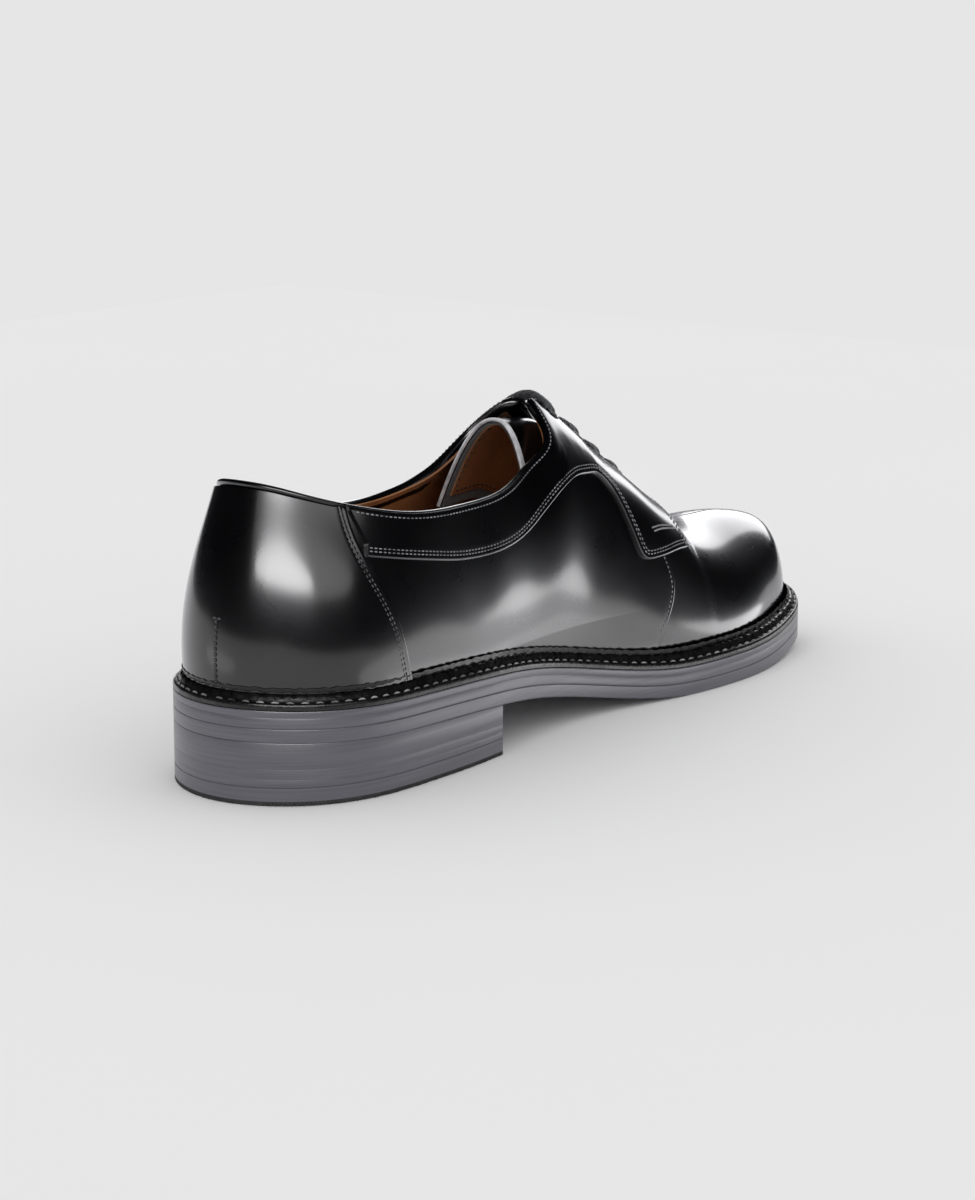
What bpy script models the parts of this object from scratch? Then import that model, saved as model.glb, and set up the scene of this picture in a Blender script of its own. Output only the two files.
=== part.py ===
"""Derby shoe, left foot: a plain-toe shoe on a welted leather sole, built on one last surface.

Run with: blender --background --python part.py
Metres, +Z up, +X to the toe, +Y to the lateral (outer) side. The floor is z = 0.
The origin is the middle of the shoe's footprint box.
"""

import bmesh
import bpy
import numpy as np

# Driving sizes, metres
SOLE_LENGTH = 0.302
BALL_WIDTH = 0.100
TOP_PIECE_THICKNESS = 0.0055
OUTSOLE_THICKNESS = 0.0042
MIDSOLE_THICKNESS = 0.0053
INSOLE_THICKNESS = 0.0030
HEEL_LENGTH = 0.0965
WELT_RIB = 0.0054
UPPER_WALL = 0.0022
COUNTER_THICKNESS = 0.0012
FACING_THICKNESS = 0.0012
TONGUE_THICKNESS = 0.0026
THROAT_WIDTH = 0.0078
LACE_WIDTH = 0.0056
LACE_THICKNESS = 0.0022
GAP = 0.0003
OVERLAY_GAP = 0.00045

# Sole outline: share of the length, half widths as shares of the ball width
OUTLINE_COLUMNS = ("along", "medial", "lateral")
OUTLINE = (
    (0.040, 0.270, 0.270),
    (0.100, 0.372, 0.372),
    (0.190, 0.400, 0.400),
    (0.300, 0.388, 0.402),
    (0.400, 0.345, 0.412),
    (0.480, 0.325, 0.450),
    (0.550, 0.342, 0.500),
    (0.630, 0.392, 0.545),
    (0.710, 0.425, 0.560),
    (0.780, 0.428, 0.538),
    (0.845, 0.400, 0.480),
    (0.900, 0.352, 0.394),
    (0.948, 0.294, 0.282),
    (0.983, 0.198, 0.155),
)
TOE_TIP_OFFSET = -0.040  # share of the ball width, towards the medial side

# Underside of the outsole: share of the length, height as a share of the heel height
HEEL_HEIGHT = 0.0199
PROFILE_COLUMNS = ("along", "height")
PROFILE = (
    (0.00, 1.000),
    (0.15, 0.935),
    (0.30, 0.855),
    (0.37, 0.745),
    (0.44, 0.563),
    (0.51, 0.342),
    (0.58, 0.136),
    (0.64, 0.025),
    (0.69, 0.000),
    (0.77, 0.000),
    (0.84, 0.035),
    (0.90, 0.100),
    (0.95, 0.211),
    (1.00, 0.427),
)

# Width of the sole edge outside the upper's foot line: share of a side's girth, width
LEDGE_COLUMNS = ("girth", "width")
LEDGE = (
    (0.00, 0.0054),
    (0.45, 0.0054),
    (0.65, 0.0060),
    (0.85, 0.0062),
    (1.00, 0.0056),
)

# Upper, back to toe. Girth is the share of a side's foot line from the back (0) to the
# toe tip (1). Along is the place of the top line or instep ridge as a share of the sole
# length, and width and heights are shares of the instep height. Lean is the wall's tilt
# at the top in degrees, low and high its fullness, bulge its swell in metres.
INSTEP_HEIGHT = 0.1036
UPPER_COLUMNS = (
    "girth", "along", "medial_width", "lateral_width", "medial_height", "lateral_height",
    "lean", "low", "high", "bulge",
)
UPPER = (
    (0.000, 0.0530, 0.000, 0.000, 0.930, 0.930, 16, 0.42, 0.30, 0.0036),
    (0.070, 0.0629, 0.101, 0.101, 0.919, 0.919, 16, 0.42, 0.30, 0.0036),
    (0.150, 0.1026, 0.203, 0.203, 0.874, 0.869, 16, 0.42, 0.30, 0.0032),
    (0.240, 0.1921, 0.290, 0.280, 0.811, 0.777, 12, 0.40, 0.30, 0.0024),
    (0.330, 0.2914, 0.280, 0.270, 0.792, 0.729, 12, 0.38, 0.28, 0.0020),
    (0.410, 0.3808, 0.241, 0.251, 0.806, 0.732, 22, 0.38, 0.30, 0.0024),
    (0.460, 0.4437, 0.193, 0.193, 0.854, 0.801, 40, 0.40, 0.34, 0.0030),
    (0.500, 0.4901, 0.150, 0.140, 0.931, 0.910, 54, 0.44, 0.38, 0.0034),
    (0.530, 0.5132, 0.036, 0.036, 1.010, 1.004, 66, 0.48, 0.42, 0.0036),
    (0.570, 0.5563, 0.038, 0.038, 0.930, 0.930, 72, 0.52, 0.46, 0.0036),
    (0.630, 0.6291, 0.038, 0.038, 0.777, 0.777, 80, 0.54, 0.50, 0.0034),
    (0.680, 0.6821, 0.038, 0.038, 0.666, 0.666, 90, 0.55, 0.54, 0.0030),
    (0.730, 0.7417, 0.000, 0.000, 0.563, 0.563, 90, 0.56, 0.56, 0.0026),
    (0.800, 0.8212, 0.000, 0.000, 0.494, 0.494, 90, 0.56, 0.60, 0.0024),
    (0.860, 0.8907, 0.000, 0.000, 0.486, 0.486, 90, 0.56, 0.62, 0.0024),
    (0.910, 0.9470, 0.000, 0.000, 0.463, 0.463, 90, 0.56, 0.60, 0.0022),
    (0.960, 0.9830, 0.000, 0.000, 0.372, 0.372, 90, 0.56, 0.58, 0.0012),
)
TOE_SWELL_HEIGHT = 0.014  # a wall lower than this swells less
THROAT_FRONT = 0.700  # girth share where the throat starts to close
THROAT_END = 0.720  # girth share where the vamp is whole
BLEND = 0.02  # girth share over which the wall's shape runs from row to row

COUNTER_FOOT = 0.20  # girth share of the counter's front edge at the welt

# Front edge of the heel counter: height share of the wall, girth share
COUNTER_COLUMNS = ("up", "girth")
COUNTER_EDGE = (
    (0.00, 0.216),
    (0.17, 0.208),
    (0.36, 0.200),
    (0.57, 0.186),
    (0.80, 0.173),
    (1.00, 0.170),
)

# Lower edge of the collar band and facing, from the counter to its front corner
FACING_COLUMNS = ("girth", "up", "top_girth")
FACING_EDGE = (
    (0.181, 0.715, 0.173),
    (0.245, 0.707, 0.245),
    (0.300, 0.667, 0.300),
    (0.350, 0.656, 0.350),
    (0.400, 0.676, 0.405),
    (0.438, 0.710, 0.450),
    (0.464, 0.740, 0.482),
    (0.487, 0.730, 0.504),
    (0.506, 0.678, 0.517),
    (0.524, 0.632, 0.530),
    (0.544, 0.620, 0.545),
    (0.560, 0.638, 0.560),
    (0.572, 0.636, 0.576),
    (0.582, 0.600, 0.590),
    (0.589, 0.512, 0.602),
    (0.595, 0.420, 0.613),
    (0.602, 0.358, 0.625),
    (0.618, 0.364, 0.642),
    (0.643, 0.397, 0.662),
    (0.668, 0.437, 0.682),
    (0.695, 0.482, 0.700),
)

# Tongue: place of its ridge as a share of the sole length, height and drop of its edges
# as shares of the instep height, half width as a share of the ball width
TONGUE_COLUMNS = ("along", "height", "half_width", "drop")
TONGUE = (
    (0.4670, 0.970, 0.200, 0.300),
    (0.4970, 0.963, 0.208, 0.290),
    (0.5298, 0.945, 0.218, 0.272),
    (0.5795, 0.845, 0.223, 0.215),
    (0.6291, 0.746, 0.218, 0.140),
    (0.6788, 0.643, 0.198, 0.108),
    (0.7219, 0.555, 0.177, 0.085),
)
TONGUE_CURL = 0.006

# Section of the welt: share of the ledge from the outer edge, height as a share of the rib
WELT_COLUMNS = ("across", "height")
WELT = (
    (0.000, 0.46),
    (0.070, 0.54),
    (0.470, 0.54),
    (0.560, 0.46),
    (0.640, 0.80),
    (0.780, 1.00),
    (0.930, 0.93),
)

# Side of a sole layer: share of its thickness, inset
LAYER_SIDE = ((0.0, 0.0004), (0.12, 0.0), (0.88, 0.0), (1.0, 0.0004))

LACE_BARS = 4
LACE_FIRST = 0.546
LACE_PITCH = 0.0340
LACE_REACH = 0.92  # wall share where a bar dives into its eyelet
LACE_FALL = -0.6  # slope of the instep along which the bars lie flat

SIDE_COLUMNS = 36
WALL_ROWS = 13
SOLE_STATIONS = 29
WELT_STATIONS = 84
LACE_SIDES = 8

BLACK_LEATHER = (0.012, 0.012, 0.014, 1.0)
EDGE_BLACK = (0.045, 0.045, 0.050, 1.0)
RUBBER_BLACK = (0.020, 0.020, 0.020, 1.0)
LINING_TAN = (0.300, 0.130, 0.045, 1.0)
LACE_GREY = (0.030, 0.030, 0.033, 1.0)


def column(table, names, name):
    index = names.index(name)
    return np.array([row[index] for row in table], float)


def spline(knots, values, at, period=None):
    """Cubic spline through the values: natural at its ends, or closed over a period."""
    knots = np.asarray(knots, float)
    values = np.asarray(values, float)
    at = np.asarray(at, float)
    count = len(knots)
    closed = period is not None
    spans = np.diff(np.append(knots, knots[0] + period)) if closed else np.diff(knots)
    slopes = (np.roll(values, -1)[: len(spans)] - values[: len(spans)]) / spans
    matrix = np.eye(count)
    right = np.zeros(count)
    for i in range(0 if closed else 1, count if closed else count - 1):
        before = spans[i - 1]
        after = spans[i]
        matrix[i] = 0.0
        matrix[i, i - 1] += before
        matrix[i, i] += 2 * (before + after)
        matrix[i, (i + 1) % count] += after
        right[i] = 6 * (slopes[i] - slopes[i - 1])
    bends = np.linalg.solve(matrix, right)
    if closed:
        at = (at - knots[0]) % period + knots[0]
    i = np.clip(np.searchsorted(knots, at, side="right") - 1, 0, len(spans) - 1)
    j = (i + 1) % count
    span = spans[i]
    a = at - knots[i]
    b = span - a
    bend = (bends[i] * b**3 + bends[j] * a**3) / (6 * span)
    start = (values[i] / span - bends[i] * span / 6) * b
    return bend + start + (values[j] / span - bends[j] * span / 6) * a


# Plan of the sole, run from the back along the medial side, round the toe and home
along = column(OUTLINE, OUTLINE_COLUMNS, "along") * SOLE_LENGTH
medial = column(OUTLINE, OUTLINE_COLUMNS, "medial") * BALL_WIDTH
lateral = column(OUTLINE, OUTLINE_COLUMNS, "lateral") * BALL_WIDTH
PLAN_X = np.concatenate(([0.0], along, [SOLE_LENGTH], along[::-1]))
PLAN_Y = np.concatenate(([0.0], -medial, [TOE_TIP_OFFSET * BALL_WIDTH], lateral[::-1]))
PLAN_STEPS = np.hypot(np.diff(PLAN_X, append=PLAN_X[0]), np.diff(PLAN_Y, append=PLAN_Y[0]))
PLAN_KNOTS = np.concatenate(([0.0], np.cumsum(PLAN_STEPS)[:-1]))
PLAN_PERIOD = PLAN_STEPS.sum()
TIP_KNOT = PLAN_KNOTS[len(OUTLINE) + 1]


def plan(place, inset=0.0):
    """Point and outward direction of the sole's outline, moved inwards by the inset."""
    x = spline(PLAN_KNOTS, PLAN_X, place, PLAN_PERIOD)
    y = spline(PLAN_KNOTS, PLAN_Y, place, PLAN_PERIOD)
    step = 1e-4
    dx = spline(PLAN_KNOTS, PLAN_X, place + step, PLAN_PERIOD)
    dx -= spline(PLAN_KNOTS, PLAN_X, place - step, PLAN_PERIOD)
    dy = spline(PLAN_KNOTS, PLAN_Y, place + step, PLAN_PERIOD)
    dy -= spline(PLAN_KNOTS, PLAN_Y, place - step, PLAN_PERIOD)
    length = np.hypot(dx, dy)
    out = np.stack((dy / length, -dx / length), axis=-1)
    point = np.stack((x, y), axis=-1) - out * np.asarray(inset)[..., None]
    return point, out


FOOTPRINT, _ = plan(np.linspace(0, PLAN_PERIOD, 2000))
CENTRE = (FOOTPRINT.min(axis=0) + FOOTPRINT.max(axis=0)) / 2


def plan_place(side, girth):
    """Place on the outline of a girth share of the medial (-1) or lateral (+1) side."""
    if side < 0:
        return girth * TIP_KNOT
    return PLAN_PERIOD - girth * (PLAN_PERIOD - TIP_KNOT)


def underside(x):
    along_share = column(PROFILE, PROFILE_COLUMNS, "along")
    height = column(PROFILE, PROFILE_COLUMNS, "height")
    rise = spline(along_share, height, np.asarray(x) / SOLE_LENGTH)
    return HEEL_HEIGHT * np.maximum(rise, 0.0)


OUTSOLE_TOP = OUTSOLE_THICKNESS
MIDSOLE_TOP = OUTSOLE_TOP + GAP + MIDSOLE_THICKNESS


def ledge(girth):
    girths = column(LEDGE, LEDGE_COLUMNS, "girth")
    widths = column(LEDGE, LEDGE_COLUMNS, "width")
    return np.interp(np.abs(girth), girths, widths)


def foot_line(side, girth):
    """Foot of the upper's outside, and the way out of the shoe there."""
    point, out = plan(plan_place(side, girth), ledge(girth))
    height = underside(point[..., 0]) + MIDSOLE_TOP + GAP
    return np.concatenate((point, height[..., None]), axis=-1), out


def upper_column(name, girth, toe, mirrored=1.0):
    """A column of the upper's table, run through the back so that the two sides meet smoothly."""
    girths = column(UPPER, UPPER_COLUMNS, "girth")
    values = column(UPPER, UPPER_COLUMNS, name)
    knots = np.concatenate((-girths[3:0:-1], girths, [1.0]))
    return spline(knots, np.concatenate((mirrored * values[3:0:-1], values, [toe])), girth)


def wall_shape(name, girth):
    """A column of the upper's table that shapes the wall, eased from row to row."""
    girths = column(UPPER, UPPER_COLUMNS, "girth")
    values = column(UPPER, UPPER_COLUMNS, name)
    shifts = np.linspace(-BLEND, BLEND, 9)
    return sum(np.interp(np.abs(girth + shift), girths, values) for shift in shifts) / len(shifts)


def upper_wall(side, girth, up):
    """Points of the last surface, from the upper's foot (0) to its top or ridge (1), and their slope."""
    name = "medial" if side < 0 else "lateral"
    foot, out = foot_line(side, girth)
    tip, _ = foot_line(side, np.ones(1))
    x = upper_column("along", girth, tip[0, 0] / SOLE_LENGTH) * SOLE_LENGTH
    y = upper_column(name + "_width", girth, 0.0, -1.0) * INSTEP_HEIGHT
    z = upper_column(name + "_height", girth, tip[0, 2] / INSTEP_HEIGHT) * INSTEP_HEIGHT
    close = np.clip((girth - THROAT_FRONT) / (THROAT_END - THROAT_FRONT), 0, 1)
    throat = THROAT_WIDTH / 2 * (1 - close * close * (3 - 2 * close))
    y = np.where(girth > 0.57, throat, y)
    ease = np.clip((girth - 0.85) / 0.15, 0, 1)
    top = np.stack((x, side * y + tip[0, 1] * ease * ease * (3 - 2 * ease), z), axis=-1)
    lean = np.radians(wall_shape("lean", girth))
    low = wall_shape("low", girth)
    high = wall_shape("high", girth)
    bulge = wall_shape("bulge", girth)
    tall = top[..., 2] - foot[..., 2]
    wide = np.hypot(top[..., 0] - foot[..., 0], top[..., 1] - foot[..., 1])
    turn = np.clip((girth - 0.25) / 0.25, 0, 1)
    turn = (turn * turn * (3 - 2 * turn))[..., None]
    away = (1 - turn) * out + turn * np.array([0.0, side])
    away /= np.linalg.norm(away, axis=-1, keepdims=True)
    bulge = bulge * np.clip(tall / TOE_SWELL_HEIGHT, 0, 1)
    swell = np.stack((out[..., 0] * bulge, out[..., 1] * bulge, low * tall), axis=-1)
    reach = high * (np.cos(lean) * tall + np.sin(lean) * wide)
    fall = np.stack(
        (away[..., 0] * np.sin(lean), away[..., 1] * np.sin(lean), -np.cos(lean)), axis=-1
    )
    first = foot + swell
    second = top + fall * reach[..., None]
    u = up[..., None]
    point = (1 - u) ** 3 * foot + 3 * (1 - u) ** 2 * u * first
    point = point + 3 * (1 - u) * u**2 * second + u**3 * top
    slope = (1 - u) ** 2 * (first - foot) + 2 * (1 - u) * u * (second - first)
    return point, slope + u**2 * (top - second)


def upper_point(side, girth, up, offset=0.0):
    """Point of the upper's surface, moved out of the shoe by the offset."""
    girth, up = np.broadcast_arrays(np.asarray(girth, float), np.asarray(up, float))
    point, above = upper_wall(side, girth, up)
    step = 1e-3
    ahead = upper_wall(side, np.minimum(girth + step, 0.9995), up)[0]
    ahead -= upper_wall(side, np.minimum(girth, 0.9995) - step, up)[0]
    normal = side * -np.cross(ahead, above)
    length = np.linalg.norm(normal, axis=-1, keepdims=True)
    normal = np.where(length > 1e-12, normal / np.maximum(length, 1e-12), (1.0, 0.0, 0.0))
    normal = np.where((girth > 0.999)[..., None], (1.0, 0.0, 0.0), normal)
    return point + normal * np.asarray(offset)[..., None]


def up_at_height(side, girth, height):
    """Share of the wall at which it stands this high over its foot."""
    shares = np.linspace(0, 1, 60)
    result = []
    for value in np.atleast_1d(girth):
        wall, _ = upper_wall(side, np.full(60, value), shares)
        result.append(np.interp(height, wall[:, 2] - wall[0, 2], shares))
    return np.array(result)


def material(name, colour, roughness):
    made = bpy.data.materials.new(name)
    made.use_nodes = True
    shader = made.node_tree.nodes["Principled BSDF"]
    shader.inputs["Base Color"].default_value = colour
    shader.inputs["Roughness"].default_value = roughness
    shader.inputs["Metallic"].default_value = 0.0
    made.diffuse_color = colour
    return made


def new_object(name, points, faces, finish, where, smooth=True):
    """A closed mesh object from points, with its faces turned out."""
    mesh = bpy.data.meshes.new(name)
    mesh.from_pydata((np.asarray(points) - (*CENTRE, 0.0)).tolist(), [], faces)
    work = bmesh.new()
    work.from_mesh(mesh)
    bmesh.ops.remove_doubles(work, verts=work.verts, dist=2e-5)
    bmesh.ops.dissolve_degenerate(work, edges=work.edges, dist=1e-6)
    bmesh.ops.recalc_face_normals(work, faces=work.faces)
    if work.calc_volume(signed=True) < 0:
        bmesh.ops.reverse_faces(work, faces=work.faces)
    work.to_mesh(mesh)
    work.free()
    obj = bpy.data.objects.new(name, mesh)
    where.objects.link(obj)
    mesh.materials.append(finish)
    if smooth:
        mesh.shade_smooth()
        mesh.set_sharp_from_angle(angle=np.radians(40))
    return obj


def sheet(name, inner, outer, finish, where, open_ends=False, joined=()):
    """A closed sheet between two like grids of points, less the rim at ends and columns that join."""
    rows, columns = inner.shape[:2]
    points = np.concatenate((inner.reshape(-1, 3), outer.reshape(-1, 3)))
    under = rows * columns
    faces = []
    for i in range(rows - 1):
        for j in range(columns - 1):
            a = i * columns + j
            faces.append((a, a + 1, a + columns + 1, a + columns))
            faces.append((under + a, under + a + columns, under + a + columns + 1, under + a + 1))
    foot = [i * columns for i in range(rows)]
    top = [i * columns + columns - 1 for i in range(rows)]
    rims = list(zip(foot, foot[1:]))
    rims += [(b, a) for i, (a, b) in enumerate(zip(top, top[1:])) if i not in joined]
    if not open_ends:
        rims += [(j + 1, j) for j in range(columns - 1)]
        last = (rows - 1) * columns
        rims += [(last + j, last + j + 1) for j in range(columns - 1)]
    for a, b in rims:
        faces.append((a, b, under + b, under + a))
    return new_object(name, points, faces, finish, where)


def side_at(side, stations, inset):
    """Half of the outline, inset by a value or a function of the girth share, at given x."""
    girth = np.linspace(0, 1, 600)
    amount = inset(girth) if callable(inset) else np.full(600, inset)
    point, _ = plan(plan_place(side, girth), amount)
    return np.interp(stations, point[:, 0], point[:, 1])


def plate(name, levels, finish, where, front=None):
    """A sole layer from levels of (height function, inset), with matching side stations."""
    share = np.linspace(0, 1, SOLE_STATIONS)
    points = []
    for height, inset in levels:
        ends, _ = plan(np.array([0.0, TIP_KNOT]), inset(np.array([0.0, 1.0])) if callable(inset) else inset)
        if front is None:
            x = ends[0, 0] + (ends[1, 0] - ends[0, 0]) * (1 - np.cos(np.pi * share)) / 2
        else:
            x = ends[0, 0] + (front - ends[0, 0]) * (1 - np.cos(np.pi * share / 2))
        for side in (-1, 1):
            y = side_at(side, x, inset)
            y[0] = ends[0, 1]
            if front is None:
                y[-1] = ends[1, 1]
            points.append(np.stack((x, y, height(x)), axis=-1))
    count = SOLE_STATIONS
    faces = []
    for level in range(len(levels)):
        low = level * 2 * count
        loop = list(range(low, low + count)) + list(range(low + 2 * count - 1, low + count - 1, -1))
        if level in (0, len(levels) - 1):
            for i in range(count - 1):
                faces.append((low + i, low + i + 1, low + count + i + 1, low + count + i))
        if level < len(levels) - 1:
            for a, b in zip(loop, loop[1:] + loop[:1]):
                faces.append((a, b, b + 2 * count, a + 2 * count))
    return new_object(name, np.concatenate(points), faces, finish, where)


def layer(name, base, thickness, finish, where, front=None):
    """A sole layer with softly worn edges, over the underside line or over the floor."""
    def height_of(share):
        return lambda x: base(x) + share * thickness(x)

    levels = [(height_of(share), inset) for share, inset in LAYER_SIDE]
    return plate(name, levels, finish, where, front)


def welt_ring(finish, where):
    place = np.arange(WELT_STATIONS) / WELT_STATIONS * PLAN_PERIOD
    medial_part = place <= TIP_KNOT
    girth = np.where(medial_part, place / TIP_KNOT, (PLAN_PERIOD - place) / (PLAN_PERIOD - TIP_KNOT))
    width = ledge(girth)
    rise = upper_column("bulge", girth, 0.0012)
    lean = np.clip(rise / 0.010, 0.10, 0.32)
    across = column(WELT, WELT_COLUMNS, "across")
    height = column(WELT, WELT_COLUMNS, "height") * WELT_RIB
    rows = []
    bottom = GAP
    inner = width - GAP
    section = [(np.zeros(WELT_STATIONS), bottom)]
    section += [(share * width, bottom + level) for share, level in zip(across[:-1], height[:-1])]
    section += [(inner - lean * height[-1] - 0.0002, bottom + height[-1])]
    section += [(inner - 0.0002, bottom)]
    for inset, level in section:
        point, _ = plan(place, inset)
        z = underside(point[:, 0]) + MIDSOLE_TOP + level
        rows.append(np.concatenate((point, z[:, None]), axis=-1))
    count = WELT_STATIONS
    faces = []
    for i in range(len(rows)):
        k = (i + 1) % len(rows)
        for j in range(count):
            m = (j + 1) % count
            faces.append((i * count + j, i * count + m, k * count + m, k * count + j))
    return new_object("welt", np.concatenate(rows), faces, finish, where)


def upper_shell(finish, where):
    ups = np.linspace(0, 1, WALL_ROWS)
    heel = np.linspace(0, 0.5, SIDE_COLUMNS // 2, endpoint=False)
    throat = np.linspace(0.5, THROAT_END, SIDE_COLUMNS // 4, endpoint=False)
    bend = np.sin(np.linspace(0, np.pi / 2, SIDE_COLUMNS // 3))
    half = np.concatenate((heel, throat, THROAT_END + (1 - THROAT_END) * bend))
    girths = np.concatenate((half[::-1], half[1:]))
    sides = np.where(np.arange(len(girths)) < len(half), -1, 1)
    joined = [i for i in range(len(girths) - 1) if min(girths[i : i + 2]) > THROAT_END - 1e-6]

    def outside(side, girth):
        return upper_point(side, girth, ups)

    def inside(side, girth):
        wall = upper_point(side, girth, ups, np.full(WALL_ROWS, -UPPER_WALL))
        wall[0, 2] = foot_line(side, np.array([girth]))[0][0, 2]
        return wall

    inner = np.array([inside(side, girth) for side, girth in zip(sides, girths)])
    outer = np.array([outside(side, girth) for side, girth in zip(sides, girths)])
    return sheet("upper", inner, outer, finish, where, True, joined)


def counter(finish, where):
    rows = 9
    columns = 12
    inner = []
    outer = []
    edge_up = column(COUNTER_EDGE, COUNTER_COLUMNS, "up")
    edge_girth = column(COUNTER_EDGE, COUNTER_COLUMNS, "girth")
    for step in range(-columns, columns + 1):
        side = -1 if step <= 0 else 1
        share = abs(step) / columns
        start = up_at_height(side, share * COUNTER_FOOT, WELT_RIB + 2 * GAP)[0]
        ups = start + (1 - start) * np.linspace(0, 1, rows)
        girth = share * np.interp(ups, edge_up, edge_girth)
        inner.append(upper_point(side, girth, ups, np.full(rows, OVERLAY_GAP)))
        outer.append(upper_point(side, girth, ups, np.full(rows, OVERLAY_GAP + COUNTER_THICKNESS)))
    return sheet("heel_counter", np.array(inner), np.array(outer), finish, where)


def facing(name, side, finish, where):
    columns = 31
    rows = 9
    place = np.linspace(0, len(FACING_EDGE) - 1, columns)
    knots = np.arange(len(FACING_EDGE))
    low_girth = np.interp(place, knots, column(FACING_EDGE, FACING_COLUMNS, "girth"))
    low_up = np.interp(place, knots, column(FACING_EDGE, FACING_COLUMNS, "up"))
    top_girth = np.interp(place, knots, column(FACING_EDGE, FACING_COLUMNS, "top_girth"))
    share = np.linspace(0, 1, rows)[None, :]
    girth = low_girth[:, None] * (1 - share) + top_girth[:, None] * share
    up = low_up[:, None] * (1 - share) + share
    inner = upper_point(side, girth, up, np.full(girth.shape, OVERLAY_GAP))
    outer = upper_point(side, girth, up, np.full(girth.shape, OVERLAY_GAP + FACING_THICKNESS))
    return sheet(name, inner, outer, finish, where)


def tongue(finish, where):
    along_share = column(TONGUE, TONGUE_COLUMNS, "along")
    stations = np.linspace(0, 1, 13)
    across = np.linspace(-1, 1, 13)
    outer = []
    for share in stations:
        row = []
        for place in across:
            x_share = along_share[0] + (along_share[-1] - along_share[0]) * share
            height = spline(along_share, column(TONGUE, TONGUE_COLUMNS, "height"), x_share)
            width = spline(along_share, column(TONGUE, TONGUE_COLUMNS, "half_width"), x_share)
            drop = spline(along_share, column(TONGUE, TONGUE_COLUMNS, "drop"), x_share)
            x = x_share * SOLE_LENGTH - TONGUE_CURL * place * place * (1 - share)
            fall = drop * abs(place) ** 2.2
            row.append((x, place * width * BALL_WIDTH, (height - fall) * INSTEP_HEIGHT))
        outer.append(row)
    outer = np.array(outer)
    ahead = np.gradient(outer, axis=0)
    beside = np.gradient(outer, axis=1)
    normal = np.cross(ahead, beside)
    normal /= np.linalg.norm(normal, axis=-1, keepdims=True)
    return sheet("tongue", outer - normal * TONGUE_THICKNESS, outer, finish, where)


def tube(path, side_way, width, thickness):
    """Points and faces of a flat cord with round ends along a path."""
    path = np.asarray(path)
    run = np.gradient(path, axis=0)
    run /= np.linalg.norm(run, axis=1, keepdims=True)
    flat = side_way - run * (run @ side_way)[:, None]
    flat /= np.linalg.norm(flat, axis=1, keepdims=True)
    rise = np.cross(run, flat)
    turn = np.linspace(0, 2 * np.pi, LACE_SIDES, endpoint=False)
    rings = []
    for i, centre in enumerate(path):
        ring = np.cos(turn)[:, None] * flat[i] * width / 2
        ring = ring + np.sin(turn)[:, None] * rise[i] * thickness / 2
        rings.append(centre + ring)
    points = np.concatenate(rings)
    faces = []
    for i in range(len(path) - 1):
        for j in range(LACE_SIDES):
            k = (j + 1) % LACE_SIDES
            low = i * LACE_SIDES
            faces.append((low + j, low + k, low + LACE_SIDES + k, low + LACE_SIDES + j))
    faces.append(tuple(range(LACE_SIDES)))
    last = (len(path) - 1) * LACE_SIDES
    faces.append(tuple(range(last + LACE_SIDES - 1, last - 1, -1)))
    return points, faces


def bar_path(girth):
    clear = OVERLAY_GAP + GAP + FACING_THICKNESS + LACE_THICKNESS / 2
    ups = np.linspace(LACE_REACH, 1.0, 6)
    near = upper_point(-1, np.full(6, girth), ups, np.full(6, clear))
    far = upper_point(1, np.full(6, girth), ups[::-1], np.full(6, clear))
    return np.concatenate((near, far))


def lace(finish, where, helpers):
    bars = [bar_path(LACE_FIRST + LACE_PITCH * i) for i in range(LACE_BARS)]
    lengthwise = np.array([1.0, 0.0, LACE_FALL])
    first = None
    pieces = []
    for i, path in enumerate(bars):
        points, faces = tube(path, lengthwise, LACE_WIDTH, LACE_THICKNESS)
        if first is None:
            first = new_object("lace", points, faces, finish, where)
        else:
            pieces.append(new_object("lace_bar_%d" % (i + 1), points, faces, finish, helpers))
    sink = np.array([0.0, 0.0, -0.3 * LACE_THICKNESS])
    for i in range(LACE_BARS - 1):
        swing = (-1) ** i * 0.14 * THROAT_WIDTH
        start = bars[i][5:7].mean(axis=0) + sink + (0, swing, 0)
        end = bars[i + 1][5:7].mean(axis=0) + sink - (0, swing, 0)
        path = np.linspace(start, end, 3)
        points, faces = tube(path, np.array([0.0, 1.0, 0.0]), 0.4 * LACE_WIDTH, 0.9 * LACE_THICKNESS)
        pieces.append(new_object("lace_link_%d" % (i + 1), points, faces, finish, helpers))
    for piece in pieces:
        piece.hide_render = True
        piece.display_type = "WIRE"
        join = first.modifiers.new(piece.name, "BOOLEAN")
        join.operation = "UNION"
        join.solver = "EXACT"
        join.object = piece
    return first


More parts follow.
